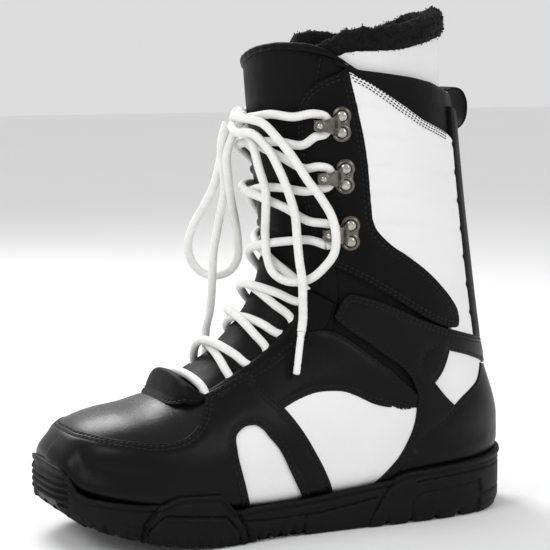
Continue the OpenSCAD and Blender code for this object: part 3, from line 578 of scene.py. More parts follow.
def panel(runs, mat, top, low, holes=(), puff=0.0, relief=None, spacing=2.3, lip=0.9, extra=(),
          grow=0.0, hole_rows=(), groove=0.5, pitch=3.4, size=(2.6, 0.52, 0.42)):
    """A sewn leather panel on the upper, as parts for make(): it stands at top, its edge drops to low"""
    loop, seams = outline(runs)
    if grow:
        loop = shift(loop, -grow, True)
    loops = [loop]
    for k, h in enumerate(holes):
        hole = outline([(pts, ()) for pts, _ in h])[0]
        loops.append(hole)
        for s in (hole_rows[k] if k < len(hole_rows) else ()):
            seams.append(shift(hole, -s, True)[list(range(len(hole))) + [0]])
    seams += [smooth(chart(e), 0.8) for e in extra]
    borders = [on(lp) for lp in loops]
    lines = [on(s) for s in seams]
    rings = [0.3, 0.9, 2.0]
    cand = []
    for lp in loops:
        way = 1 if lp is loops[0] else -1
        for r in rings:
            cand.append((shift(lp, way * r, True), 0.86 * r))
    for s in seams:
        cand += [(s, 0.5), (shift(s, 0.9), 0.5), (shift(s, -0.9), 0.5)]
    lo, hi = loop.min(0), loop.max(0)
    rows = np.arange(lo[1], hi[1], spacing * 0.866)
    hexes = np.concatenate([np.stack([np.arange(lo[0] + (k % 2) * spacing / 2, hi[0], spacing), np.full_like(
        np.arange(lo[0] + (k % 2) * spacing / 2, hi[0], spacing), y)], 1) for k, y in enumerate(rows)])
    cand.append((hexes, 2.9))

    def clear(x, need):
        ok = inside(x, loop)
        for hole in loops[1:]:
            ok &= ~inside(x, hole)
        x = x[ok]
        if not len(x):
            return x
        d = np.min([distance(on(x), b, True) for b in borders], axis=0)
        return x[d > need]

    kept = [clear(x, need) for x, need in cand[:-1]]
    body = clear(*cand[-1])
    if lines and len(body):
        ds = np.min([distance(on(body), ln) for ln in lines], axis=0)
        body = body[ds > 1.7]
    coords = np.concatenate(loops + kept + [body])
    edges = []
    start = 0
    for lp in loops:
        edges += [(start + i, start + (i + 1) % len(lp)) for i in range(len(lp))]
        start += len(lp)
    key = np.unique(np.round(coords[start:] / 0.25).astype(int), axis=0, return_index=True)[1]
    coords = np.concatenate([coords[:start], coords[start:][np.sort(key)]])
    vs, _, fs, *_ = delaunay_2d_cdt([Vector(c) for c in coords], edges, [], 0, 1e-5, False)
    pq = np.array([list(v) for v in vs])
    tri = np.array([f for f in fs if len(f) == 3])
    mid = pq[tri].mean(1)
    ok = inside(mid, loop)
    for hole in loops[1:]:
        ok &= ~inside(mid, hole)
    tri = tri[ok]
    used = np.unique(tri)
    new = np.full(len(pq), -1)
    new[used] = np.arange(len(used))
    pq, tri = pq[used], new[tri]

    def level(q):
        x = on(q)
        d = np.min([distance(x, b, True) for b in borders], axis=0)
        f = np.clip(d / lip, 0, 1)
        h = top - 0.55 * min(top - low, 1.6) * (1 - np.sqrt(1 - (1 - f) ** 2))
        if puff:
            g = np.clip(d / 9, 0, 1)
            h = h + puff * g * g * (3 - 2 * g)
        if lines and groove:
            ds = np.min([distance(x, ln) for ln in lines], axis=0)
            h = h - groove * np.exp(-(ds / 0.85) ** 2)
        if relief:
            h = h + relief(q, x, d)
        return h

    h = level(pq)
    top_points = on(pq, h)
    # the wall round the border
    pair = np.concatenate([tri[:, [0, 1]], tri[:, [1, 2]], tri[:, [2, 0]]])
    keyed = {(int(a), int(b)) for a, b in pair}
    rim = [(a, b) for a, b in keyed if (b, a) not in keyed]
    rim_ids = sorted({i for e in rim for i in e})
    low_points = on(pq[rim_ids], np.full(len(rim_ids), low))
    at = {i: len(pq) + k for k, i in enumerate(rim_ids)}
    faces = tri.tolist() + [[b, a, at[a], at[b]] for a, b in rim]
    parts = [(np.concatenate([top_points, low_points]), faces, mat)]
    sewn = stitches(seams, lambda q: level(q) + 0.15, pitch=pitch, size=size)
    if sewn:
        parts.append(sewn)
    return parts


def leather(name, node, runs, mat, top, low, body="foot", **shape):
    """A sewn panel in a CAD node's place"""
    return make(name, panel(runs, mat, top, low, **shape), body, [node])


def other(runs):
    """The same runs on the medial side"""
    return [([(t, -v) for t, v in pts], rows) for pts, rows in runs]


def both(half, rows=()):
    """A line that crosses the front centre: its medial half, then its lateral half"""
    return [(t, -v) for t, v in half[::-1]] + [p for p in half if p[1] != 0], rows


# ---------- cords ----------

LOOP_T = [(5.45, 6.1), (6.75, 7.4), (8.05, 8.65), (9.3, 9.9)]
LACE_V, LACE_H, OVER = 33, 3.4, 6.6
TURN_H = -0.9
HOOK_T, HOOK_V = [12.18, 13.25, 14.12], 62
HOOK_TURN = [(-15, -6.6, 4.3), (-10.5, -5.4, 4.3), (-8.2, -2, 4.3), (-8.2, 2, 4.3), (-10.5, 5.4, 4.3), (-15, 6.6, 4.3)]
LEAVE_LOW, LEAVE_HIGH, LEAVE_V = -0.56, -0.12, 41
KNOT, KNOT_OUT = np.array([0, -24, 251.0]), 8.3
LACE_D = 5.4

LOOP_LATERAL = [[19, -25, 251], [27, -21, 249], [34, -15, 241], [40, -7, 229], [45, 0, 216], [49, 8, 204],
                [53, 13, 193], [54, 15, 182], [52, 15, 172], [47, 11, 163], [41, 3, 155], [32, -8, 154],
                [24, -13, 159], [19, -14, 167], [18, -15, 180], [21, -16, 194], [23, -17, 208], [22, -21, 222],
                [17, -23, 236]]
LOOP_MEDIAL = [[-12, -29, 237], [-16, -30, 224], [-21, -32, 209], [-25, -37, 196], [-29, -43, 183], [-32, -45, 171],
               [-34, -42, 161], [-34, -36, 154], [-32, -27, 151], [-29, -18, 154], [-26, -14, 162], [-23, -15, 173],
               [-18, -19, 186], [-10, -25, 199], [-3, -30, 213], [0, -32, 231]]
END_LATERAL = [[13, -31, 243], [21, -26, 243], [28, -18, 234], [33, -13, 222], [36, -8, 208], [37, -4, 194],
               [38, -3, 180], [41, -3, 167], [44.5, -2.7, 155], [43.4, -1.8, 143], [43, -1.6, 131], [44, -3, 124]]
END_MEDIAL = [[-4, -34, 237], [-8, -32, 224], [-14, -28, 207], [-17, -29, 194], [-19, -31, 180], [-22, -32, 168],
              [-24, -32, 155], [-30, -30, 141], [-38, -28, 127], [-44, -28, 116], [-45.5, -28, 108]]


def leave(way):
    return KNOT + KNOT_OUT * unit(way)


def crossing(t0, t1, v0, v1, side, hump, start=0.0, end=1.0, dip=0.0, dip_end=None):
    f = np.linspace(start, end, 7)
    low = dip * np.clip(1 - f / 0.2, 0, 1) + (dip if dip_end is None else dip_end) * np.clip((f - 0.8) / 0.2, 0, 1)
    return list(upper(t0 + (t1 - t0) * f, side * (v0 - (v0 + v1) * f), LACE_H - low + hump * np.sin(np.pi * f) ** 3))


def stand(t, v, h):
    """A place on the lateral surface and its axes: x to the rear, y up, z along the normal"""
    p = upper(t, v, h)
    n = unit(np.cross(upper(t, v + 3, h) - upper(t, v - 3, h), upper(t + 0.05, v, h) - p))
    x = unit([-n[1], n[0], 0])
    return p, np.array([x, np.cross(n, x), n])


def hook_turn(k, side):
    p, m = stand(HOOK_T[k], HOOK_V, 0.3)
    return [(p + np.array(q) @ m) * [side, 1, 1] for q in HOOK_TURN]


def lower_half(side, hump):
    p = [upper(LOOP_T[0][0], side * LACE_V, LACE_H - 4.3), upper(sum(LOOP_T[0]) / 2, side * 39, TURN_H)]
    for k in range(3):
        p += crossing(LOOP_T[k][1], LOOP_T[k + 1][0], LACE_V, LACE_V, side, hump, dip=4.3)
        side = -side
        p.append(upper(sum(LOOP_T[k + 1]) / 2, side * 39, TURN_H))
    return p + [upper(LOOP_T[3][1], side * LACE_V, LACE_H - 4.3)]


def upper_half(side, hump):
    out = unit([side * 0.9, 0.35, 0.1])
    return (hook_turn(0, side)
            + crossing(HOOK_T[0] + LEAVE_HIGH, HOOK_T[1] + LEAVE_LOW, LEAVE_V, LEAVE_V, side, hump)
            + hook_turn(1, -side)
            + crossing(HOOK_T[1] + LEAVE_HIGH, HOOK_T[2] + LEAVE_LOW, LEAVE_V, LEAVE_V, -side, hump)
            + hook_turn(2, side) + [upper(14.0, side * 36, LACE_H), upper(13.95, side * 22, LACE_H + 1)]
            + [KNOT + 12 * out, KNOT + KNOT_OUT * out])


def braid(line, radius=LACE_D / 2):
    """A stretch of lace, with six strands showing"""
    return (*tube(line, radius, 16, 6), LACE_WHITE)


def lace(name, route, body=None, nodes=()):
    line = smooth(route, 0.9)
    obj = make(name, [braid(line)], body, nodes=nodes)
    return obj, line


def aglet(name, points, body):
    """A clear tip shrunk onto the lace's end, with two crimps"""
    last = np.array(points[-1], float)
    way = unit(last - np.array(points[-2], float))
    s = np.array([0, 0.3, 1.2, 2.4, 3.0, 3.6, 12, 19, 19.6, 20.4, 21, 25.0, 25.7, 26])
    r = np.array([2.0, 2.45, 2.35, 2.2, 2.0, 2.2, 2.2, 2.2, 2.05, 2.05, 2.2, 2.15, 1.7, 0.6])
    line = last + s[:, None] * way
    obj = make(name, [(*tube(line, r, 24), AGLET)], body, nodes=[name.replace("_tip", "")])
    return obj


lower = lower_half(-1, OVER)[::-1] + [upper(LOOP_T[0][0], v, LACE_H) for v in (-24, -12, 0, 12, 24)] + lower_half(1, 0)
lace("lace_low", lower, "foot", nodes=["lace_lower"])
bridges, tops = [], []
for side, hump in ((-1, OVER), (1, 0)):
    cross = crossing(LOOP_T[3][1], HOOK_T[0] + LEAVE_LOW, LACE_V, LEAVE_V + 1, side, hump, 0.06, 0.97, dip=4.3,
                     dip_end=0.0)
    first = upper(LOOP_T[3][1], side * LACE_V, LACE_H - 4.3)
    joined = smooth([first] + cross + hook_turn(0, -side)[:1], 0.9)
    bridges.append(braid(joined))
    tops.append(braid(smooth(upper_half(-side, hump), 0.9)))
lace_mid = make("lace_mid", bridges, nodes=["lace_bridge"])
make("lace_top", tops, "cuff", nodes=["lace_upper"])

cords = {}
for name, node, first, points, last, body in (
        ("bow_lateral_cord", "bow_loop_lateral", [0.8, -0.55, 0.1], LOOP_LATERAL, [0.68, 0.1, -0.72], "bow_lateral"),
        ("bow_medial_cord", "bow_loop_medial", [-0.9, -0.1, -0.42], LOOP_MEDIAL, [-0.1, -0.3, -0.95], "bow_medial"),
        ("end_lateral_cord", "lace_end_lateral", [0.35, -0.78, -0.52], END_LATERAL, None, None),
        ("end_medial_cord", "lace_end_medial", [-0.5, -0.8, -0.33], END_MEDIAL, None, None)):
    cords[name] = lace(name, [leave(first)] + points + ([leave(last)] if last else []), body, nodes=[node])
tips = {"end_lateral_cord": aglet("aglet_lateral_tip", END_LATERAL, "foot"),
        "end_medial_cord": aglet("aglet_medial_tip", END_MEDIAL, "foot")}
for name, (obj, line) in cords.items():
    if name in tips:
        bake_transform(obj)

# The knot: the lace's own turns round a core
turns = []
for tilt, r, off in ((0.35, 5.0, 0.0), (-0.5, 4.6, 1.3), (1.35, 4.4, -0.6)):
    th = np.linspace(0, 2 * np.pi * 0.93, 40)
    c, s = math.cos(tilt), math.sin(tilt)
    ring = np.stack([r * np.cos(th), 1.2 * off + 0.5 * r * np.sin(2 * th) * 0.25 - 0.8, 0.92 * r * np.sin(th)], 1)
    ring = ring @ np.array([[c, 0, s], [0, 1, 0], [-s, 0, c]])
    turns.append(braid(KNOT + ring, 2.55))
core = smooth([KNOT + [-8, 1.5, -2], KNOT + [-3, -2.5, 0], KNOT + [3, -2.8, 1.5], KNOT + [8, 0.5, 2]], 0.9)
turns.append(braid(core))
make("lace_bow_knot", turns, "cuff", nodes=["lace_knot"])


# ---------- leather panels ----------

TOE_SEAM = [(1.75, 0), (1.93, 27), (2.5, 46), (3.27, 55), (3.95, 58), (4.5, 56), (4.85, 49.5), (5.15, 40.5), (5.37, 30)]
FOREFOOT = [[(5.70, 64.3), (5.83, 63.5), (6.05, 65)], [(6.05, 65), (6.15, 69), (6.20, 74.5), (6.28, 83), (6.30, 90.5),
        (6.32, 104.5), (6.42, 146)],
            [(6.42, 146), (5.46, 142)], [(5.46, 142), (5.45, 125), (5.43, 90), (5.47, 76), (5.60, 65.8), (5.70, 64.3)]]


def fore(side):
    return [([(t, side * v) for t, v in run], ()) for run in FOREFOOT]


THROAT = [(5.1, 38), (5.37, 30), (5.65, 31.5), (6.0, 33.3), (6.4, 35), (6.66, 37), (7.3, 39.6), (7.9, 40.3),
          (8.5, 42.3), (8.85, 46.5)]


def throat_swell(q, x, d):
    """The edge over the lace's turns stands up"""
    near = np.min([distance(x, on(smooth(chart([(t, s * v) for t, v in THROAT]), 1.2))) for s in (1, -1)], axis=0)
    return 2.0 * np.exp(-(near / 5.5) ** 2)


def toe_relief(q, x, d):
    """The swell behind the toe seam, and the throat's edge"""
    return 0.25 * np.exp(-((d - 7) / 5) ** 2) * (x[:, 2] > 50) + throat_swell(q, x, d)


BACK_EDGE = [(6.66, 37), (6.66, 45), (6.70, 54), (6.80, 64.5), (6.87, 78.5), (6.88, 90), (6.86, 98.5), (6.85, 123.5),
             (6.9, 148)]
THROAT_FRONT = [(5.37, 30), (5.65, 31.5), (6.0, 33.3), (6.4, 35)]
rand_runs = [
    both(TOE_SEAM, (1.8, 4.2)),
    (THROAT_FRONT, (1.8, 4.2)),
    (BACK_EDGE, (1.6, 3.9)),
    ([(6.90, 148), (3.0, 148), (0, 148)], ()),
    ([(0, 148), (0, -148)], ()),
    ([(0, -148), (3.0, -148), (6.90, -148)], ()),
    ([(t, -v) for t, v in BACK_EDGE[::-1]], (1.6, 3.9)),
    ([(t, -v) for t, v in [(6.66, 37)] + THROAT_FRONT[::-1]], (1.8, 4.2)),
]
leather("toe_rand", "toe_cap", rand_runs, BLACK_LEATHER, 1.2, -0.6, holes=(fore(1), fore(-1)), relief=toe_relief,
        puff=0.4)

VAMP_HALF = [(1.55, 0), (1.7, 28), (2.25, 49), (3.1, 59), (3.95, 62), (4.6, 60), (5.1, 51), (5.4, 41), (5.6, 33)]
VAMP_BACK = [(5.6, 33), (5.3, 20), (5.2, 0), (5.3, -20), (5.6, -33)]


def vamp_relief(q, x, d):
    """Two soft creases across the vamp"""
    return 0.5 * np.exp(-((x[:, 1] + 84) / 4) ** 2) * np.cos(x[:, 0] / 22) - 0.4 * np.exp(-((x[:, 1] + 78) / 2.5) ** 2)


leather("vamp_leather", "vamp", [both(VAMP_HALF), (VAMP_BACK, ())], GLOSS_LEATHER, 0.25, -1.2, relief=vamp_relief)


def tab_relief(q, x, d):
    """The folded flap swells away from the vamp and ends in a thick rolled edge"""
    t = np.interp(q[:, 0], P_TAB, T_TAB)
    v = q[:, 1] / Q
    across = np.clip(1 - (np.abs(v) / 35) ** 2.8, 0, 1)
    rise = np.clip((t - 4.5) / 0.62, 0, 1)
    rise = rise * rise * (3 - 2 * rise)
    crease = 0.5 * np.exp(-((t - 4.66 - 0.1 * (v / 30) ** 2) / 0.05) ** 2) + 0.4 * np.exp(-((v - 17) / 2.2) ** 2) * rise
    return 10.5 * rise * across - crease - 2.6 * np.clip(1 - d / 2.6, 0, 1) ** 2 * (t > 4.9)


TAB_FRONT = [(4.42, 0), (4.44, 10), (4.54, 20), (4.86, 29), (5.2, 34.5)]
TAB_BACK = [(5.5, 33), (5.3, 26), (5.2, 15), (5.22, 0), (5.2, -15), (5.3, -26), (5.5, -33)]
leather("throat_tab_fold", "throat_tab", [both(TAB_FRONT, (1.6,)), ([(5.2, 34.5), (5.5, 33)], ()), (TAB_BACK, ()),
                                          ([(5.5, -33), (5.2, -34.5)], ())],
        MATT_LEATHER, 1.3, -0.4, relief=tab_relief, puff=0.5, spacing=1.7)

# The rear quarter, the white panels under it, the strap (a saddle, a band to the heel and a branch to the sole),
# the cuff's black facing and its white side panel, all for the lateral side
QUARTER = [
    ([(6.5, 36.2), (6.66, 37), (7.3, 39.6), (7.9, 40.3), (8.5, 42.3)], (1.8, 4.2)),
    ([(8.5, 42.3), (8.85, 46.5), (9.12, 52), (9.22, 59), (9.25, 68), (9.26, 75), (9.28, 80), (9.25, 84)], (1.8,)),
    ([(9.25, 84), (9.22, 92), (9.1, 98)], ()),
    ([(9.1, 98), (8.98, 96)], ()),
    ([(8.98, 96), (8.95, 92.2), (8.8, 91), (8.6, 89.5), (8.4, 84.5), (8.25, 77.5), (8.15, 74), (7.95, 70.5),
      (7.65, 67), (7.25, 65),
      (6.83, 64.7), (6.5, 65)], (1.8, 4.0)),
    ([(6.5, 65), (6.42, 50)], ()),
]
MIDDLE = [([(6.6, 61), (7.25, 61.5), (7.75, 64), (8.1, 69), (8.4, 77), (8.65, 85.5), (8.95, 88.5), (9.15, 94),
            (8.85, 98),
            (8.3, 104), (7.95, 112), (7.65, 124), (7.5, 150)], ()), ([(7.5, 150), (6.7, 149)], ()),
          ([(6.7, 149), (6.72, 107), (6.72, 85), (6.6, 61)], ())]
STRAP = [
    ([(9.55, 51.5), (9.75, 52), (9.95, 52.8), (10.35, 55.8), (10.6, 60)], (1.8, 4.2)),
    ([(10.6, 60), (10.8, 71.5), (10.92, 82.5), (11.02, 96), (11.1, 104), (11.3, 120.5), (11.5, 142), (11.6, 160),
      (11.64, 181)], (1.8, 4.2)),
    ([(11.64, 181), (11.1, 181)], ()),
    ([(11.1, 181), (11.08, 160), (11.02, 142), (10.88, 124), (10.7, 110)], (1.8,)),
    ([(10.7, 110), (10.2, 102.5), (9.71, 96.5)], (1.8,)),
    ([(9.71, 96.5), (9.62, 101), (9.57, 107.5)], ()),
    ([(9.57, 107.5), (9.2, 103), (8.8, 100), (8.5, 100.5), (8.28, 102.8), (8.0, 109.5), (7.78, 120), (7.7, 150)], ()),
    ([(7.7, 150), (7.4, 149)], ()),
    ([(7.4, 149), (7.45, 126), (7.5, 120), (7.78, 108.2), (8.12, 101.4), (8.48, 96.1), (8.76, 93.4), (9.0, 91.8)],
     (1.8,)),
    ([(9.0, 91.8), (9.2, 91), (9.38, 89.3), (9.5, 84), (9.5, 75), (9.49, 66.5), (9.47, 58), (9.55, 51.5)], (1.8,)),
]
STRAP_SEAM = [(10.62, 102), (10.4, 95.5), (9.95, 90.6), (9.72, 91.5), (9.6, 96)]
HEEL = [([(10.85, 108), (10.2, 99), (9.75, 93), (9.45, 97), (9.42, 109), (10.0, 121), (10.9, 147), (11.2, 150),
          (11.1, 128)], ())]
FACING = [
    ([(11.08, 50), (11.1, 56), (11.13, 63), (11.14, 75.5), (11.12, 88), (11.12, 98.5), (11.16, 106.5), (11.3, 117)],
     (1.8, 4.0)),
    ([(11.3, 117), (11.42, 121.5), (11.62, 123.3), (11.82, 122), (11.95, 118), (12.08, 111.5), (12.22, 102),
      (12.3, 92), (12.36, 83),
      (12.5, 76.5), (12.95, 74.5), (13.4, 74.5), (13.81, 74), (14.27, 71.9), (14.65, 69.4), (15.02, 66.6)], (1.8, 4.0)),
    ([(15.02, 66.6), (14.96, 64), (14.9, 62)], ()),
    ([(14.9, 62), (14.68, 51), (14.39, 41.6), (14.11, 37.6), (13.75, 36.6), (13.2, 36.4), (12.45, 36.7), (11.9, 38.6),
      (11.35, 42.5)], (1.8, 4.0)),
    ([(11.35, 42.5), (11.15, 45)], ()),
]
SIDE = [
    ([(14.95, 66.6), (14.93, 71), (14.88, 78.5), (14.8, 86), (14.72, 93.5), (14.66, 101), (14.6, 108.5), (14.57, 120),
      (14.55, 130)], (1.0, 2.5, 4.0)),
    ([(14.55, 130), (14.50, 138.6)], ()),
    ([(14.50, 138.6), (13.5, 138.8), (12.30, 138.8), (11.25, 139)], ()),
    ([(11.25, 139), (11.15, 128), (11.05, 116)], ()),
    ([(11.05, 116), (11.35, 115), (11.75, 113), (11.95, 103), (12.05, 86), (12.2, 76), (12.5, 70), (13.0, 68.5),
      (13.8, 68),
      (14.5, 67), (14.84, 65.4)], ()),
    ([(14.84, 65.4), (14.95, 66.6)], ()),
]


def quilt(q, x, d):
    """Lines that hold the foam flat, level round the cuff, and the band's edge"""
    z = x[:, 2] + 0.10 * (x[:, 1] - 70)
    near = np.abs((z - 150) / 17.5 - np.round((z - 150) / 17.5)) * 17.5
    return 0.45 - 0.6 * np.exp(-(near / 1.4) ** 2) - 0.5 * np.exp(-((d - 5.2) / 0.7) ** 2) * (z > 205)


for side, tag, mirror in ((1, "lateral", lambda r: r), (-1, "medial", other)):
    leather(f"front_window_{tag}", f"forefoot_window_{tag}", fore(side), WHITE_LEATHER, 0.15, -1.0, grow=2.6,
            relief=lambda q, x, d: 0.5 * np.clip((d - 2) / 12, 0, 1))
    # the welt sewn round the window
    ring = shift(outline(fore(side))[0], -5.6, True)
    tv = np.stack([np.interp(ring[:, 0], P_TAB, T_TAB), ring[:, 1] / Q], 1)
    make(f"window_welt_{tag}", panel([([tuple(p) for p in tv[::4]], ())], BLACK_LEATHER, 2.0, 0.2, holes=(fore(side),),
                                     hole_rows=((1.7, 4.0),), spacing=2.0, lip=1.3), "foot")
    leather(f"quarter_panel_{tag}", f"quarter_{tag}", mirror(QUARTER), BLACK_LEATHER, 0.8, -1.0, puff=0.3,
            relief=throat_swell)
    leather(f"middle_window_{tag}", f"midfoot_window_{tag}", mirror(MIDDLE), WHITE_LEATHER, 0.1, -1.2,
            relief=lambda q, x, d: 0.9 * np.clip((d - 3) / 22, 0, 1))
    leather(f"ankle_strap_panel_{tag}", f"ankle_strap_{tag}", mirror(STRAP), BLACK_LEATHER, 1.7, -0.4,
            extra=[[(t, side * v) for t, v in STRAP_SEAM]], puff=0.3)
    leather(f"heel_window_panel_{tag}", f"heel_window_{tag}", mirror(HEEL), WHITE_LEATHER, 0.25, -1.0)
    leather(f"cuff_facing_panel_{tag}", f"cuff_facing_{tag}", mirror(FACING), MATT_LEATHER, 1.3, -1.4, "cuff", puff=0.3)
    obj = leather(f"cuff_side_panel_{tag}", f"cuff_side_{tag}", mirror(SIDE), WHITE_LEATHER, 0.3, -1.6, None,
                  relief=quilt, groove=0.2, spacing=2.0, pitch=2.5, size=(1.8, 0.36, 0.26))
    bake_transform(obj)

# heel counter, round the back
EDGE = [(10.98, 144), (10.5, 130), (10.1, 118.2), (9.85, 112.5), (9.57, 107.3)]
FRONT = [(9.57, 107.3), (9.2, 102.3), (8.8, 99.2), (8.5, 99.6), (8.26, 102), (7.98, 108.7), (7.75, 119.5), (7.7, 152)]


def round_back(half):
    return [(t, 360 - v) for t, v in half[::-1]]


def counter_relief(q, x, d):
    low = np.exp(-((x[:, 2] - 47) / 1.3) ** 2) + np.exp(-((x[:, 2] - 42) / 1.3) ** 2)
    return 0.5 * np.clip((d - 3) / 14, 0, 1) - 0.45 * low


runs = [
    (FRONT[::-1], (2.0,)),
    (EDGE[::-1], ()),
    ([(10.98, 144), (11.06, 160), (11.1, 180), (11.06, 200), (10.98, 216)], ()),
    (round_back(EDGE[::-1]), ()),
    (round_back(FRONT[::-1]), (2.0,)),
    ([(7.7, 208), (9.2, 190), (9.35, 180), (9.2, 170), (7.7, 152)], ()),
]
leather("heel_counter_shell", "heel_counter", runs, BLACK_LEATHER, 1.2, -0.5, relief=counter_relief, puff=0.5)

# backstay, from the strap's band to the collar, and the padded collar above it
runs = [
    ([(14.9, 137), (13.70, 137.2), (12.30, 137.2), (11.45, 137.5)], (1.8,)),
    ([(11.45, 137.5), (11.5, 160), (11.52, 180), (11.5, 200), (11.45, 222.5)], ()),
    ([(11.45, 222.5), (12.30, 222.8), (13.70, 222.8), (14.9, 223)], (1.8,)),
    ([(14.9, 223), (14.9, 180), (14.9, 137)], ()),
]
backstay = leather("backstay_panel", "backstay", runs, MATT_LEATHER, 1.35, -1.4, None, puff=0.4,
                   extra=([(14.7, 165), (13, 166), (11.7, 166)], [(14.7, 195), (13, 194), (11.7, 194)]))
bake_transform(backstay)

LOW_EDGE = [(15.06, 64), (15.0, 68), (14.90, 78.5), (14.74, 93.5), (14.62, 108.5), (14.57, 130), (14.55, 150),
            (14.55, 180)]
TOP_EDGE = [(15.15, 59), (15.05, 66), (15.02, 73), (15.06, 84), (15.12, 103), (15.14, 119), (15.12, 134), (15.1, 150),
            (15.1, 180)]


def oval_roll(v, sides, middle, half, square, h):
    """Rings of a closed roll along v: middle and half give its span in t, and h its height at an angle"""
    ring = []
    for k in range(sides):
        a = 2 * math.pi * k / sides
        ring.append(upper(middle + half * np.sign(math.cos(a)) * abs(math.cos(a)) ** square, v,
                          h(np.sign(math.sin(a)) * abs(math.sin(a)) ** 0.7)))
    return np.array(ring).transpose(1, 0, 2)


def edge_at(table, v):
    a = np.abs((v + 180) % 360 - 180)
    tab = np.array(table)
    return np.interp(a, tab[:, 1], tab[:, 0])


# The collar is one closed roll: its section is a flat oval between the two edges
v = np.concatenate([np.linspace(60, 180, 76), np.linspace(181.6, 300, 75)])
t0, t1 = edge_at(LOW_EDGE, v) - 0.06, edge_at(TOP_EDGE, v)
fade = np.clip((np.minimum(v - 60, 300 - v)) / 10, 0.05, 1) ** 0.5
inset = 2.2 * np.clip((90 - np.abs(v - 180)) / 40, 0, 1)
rings = oval_roll(v, 28, (t0 + t1) / 2, (t1 - t0) / 2, 0.6, lambda q: -1.2 - inset + fade * (2.3 * q))
collar = make("padded_collar", [(*loft(rings), PADDED_BLACK)], "cuff", nodes=["rear_collar"])

# ---------- tongue ----------

v = np.linspace(-52, 52, 70)
t = np.linspace(5.0, 15.25, 210)
tt, vv = np.meshgrid(t, v, indexing="ij")
rise = (tt - 5.0) / (15.25 - 5.0)
TONGUE_V = [-70, -45, -25, -8, 8, 26, 43, 55, 64, 72]
TONGUE_T = [14.7, 14.72, 14.8, 14.88, 15.02, 15.14, 15.2, 15.18, 15.1, 15.0]
top = np.interp(vv * 1.3, TONGUE_V, TONGUE_T) - 0.04
tt = 5.0 + (top - 5.0) * rise
body = np.exp(-(vv / 33) ** 4)
pads = sum(np.exp(-((tt - s) / 0.075) ** 2) for s in (6.4, 7.7, 9.0, 10.35, 11.3, 12.35))
h = -2.6 + 2.9 * body - 0.9 * pads * np.exp(-(vv / 36) ** 6)
vv = vv * (1 + 0.30 * np.clip((tt - 13.9) / 0.9, 0, 1))
h = h - 0.5 * np.exp(-((np.abs(vv) - 50) / 1.6) ** 2) * (tt > 14)
outer = upper(tt, vv, h)
inner = upper(tt, vv, h - 3.0)
tongue_parts = [(*closed_grid(outer, inner), PADDED_BLACK)]
for s in (-1, 1):
    line = smooth(chart([(14.2, 47 * s), (14.66, 49 * s), (14.86, 50.5 * s), (15.08, 52 * s)]), 0.8)
    tongue_parts.append(stitches([line], lambda q: np.full(len(q), -1.6)))
tongue = make("tongue_padded", tongue_parts, nodes=["tongue_lower", "tongue_flex_zone",
        "tongue_upper"])
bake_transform(tongue)
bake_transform(lace_mid)

# The binding folded over the tongue's top edge
v = np.linspace(-66, 70, 130)
top = np.interp(v, TONGUE_V, TONGUE_T)
size = np.clip((71 - np.abs(v)) / 22, 0.2, 1)
rings = oval_roll(v, 20, top, 0.075 * size, 0.7, lambda q: -0.6 + (2.2 * size) * q + 0.15 * np.sin(v * 0.9))
make("tongue_edge_roll", [(*loft(rings), PADDED_BLACK)], "cuff",
               nodes=["tongue_binding"])

# ---------- gussets, linings ----------

for side, tag in ((1, "lateral"), (-1, "medial")):
    tt, vv = np.meshgrid(np.linspace(8.3, 11.45, 60), np.linspace(38, 124, 60), indexing="ij")
    fold = 0.3 * np.sin((tt - 8.3) * 9) * np.clip((122 - vv) / 30, 0, 1) * np.clip((vv - 60) / 10, 0, 1)
    deep = -3.1 + 0.8 * np.clip((vv - 54) / 8, 0, 1) + fold
    obj = make(f"gusset_{tag}", [(*closed_grid(upper(tt, side * vv, deep), upper(tt, side * vv, deep - 0.6)),
                                  BLACK_FABRIC)], nodes=[f"ankle_gusset_{tag}"])
    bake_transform(obj)

tt, vv = np.meshgrid(np.linspace(2.5, 14.9, 150), np.linspace(0, 360, 150, endpoint=False), indexing="ij")
lining = make("shell_lining", [(*closed_grid(upper(tt, vv, -3.25), upper(tt, vv, -3.6), True), BLACK_FABRIC)])
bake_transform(lining)

NEAR_TOP = [(-60, 266), (-10, 270), (12, 281), (26, 288.5), (38, 290), (60, 292), (100, 300), (140, 303)]
FAR_TOP = [(-60, 258), (0, 262), (26, 266), (33, 279), (38, 287), (48, 289), (60, 287.5), (70, 284), (78, 282.5),
           (88, 286), (104, 297),
           (122, 303), (140, 304)]


def t_at_line(v, h, line):
    """The t at which the surface at depth h crosses a line given in side view"""
    tab = np.array(line, float)
    ts = np.linspace(12, 16.9, 400)
    p = upper(ts[:, None], v[None], h)
    above = p[..., 2] - np.interp(p[..., 1], tab[:, 0], tab[:, 1])
    return ts[np.argmax(above > 0, axis=0)]


def roll_line(v):
    """The t the fleece roll starts from, lower on the side away from the pull"""
    near = np.clip(0.5 + 2.5 * np.sin(np.radians(v)), 0, 1)
    return near * t_at_line(v, -7.0, NEAR_TOP) + (1 - near) * t_at_line(v, -7.0, FAR_TOP)


v = np.linspace(0, 360, 144, endpoint=False)
t_top = roll_line(v) + 0.12
f = np.linspace(0, 1, 120)[:, None]
tt = 1.2 + (t_top[None] - 1.2) * f
vv = np.broadcast_to(v, tt.shape)
LINER_OUT, LINER_IN = -3.7, -9.4
lean = 4.5 * np.clip((tt - 14.2) / 1.0, 0, 1) * np.clip((-np.cos(np.radians(vv)) + 0.1) / 0.8, 0, 1)
liner = make("liner_sleeve", [(*closed_grid(upper(tt, vv, LINER_OUT - lean), upper(tt, vv, LINER_IN - lean), True),
        LINER_WHITE)], nodes=["liner_foot", "liner_flex_zone", "liner_cuff", "liner_tongue"])
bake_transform(liner)

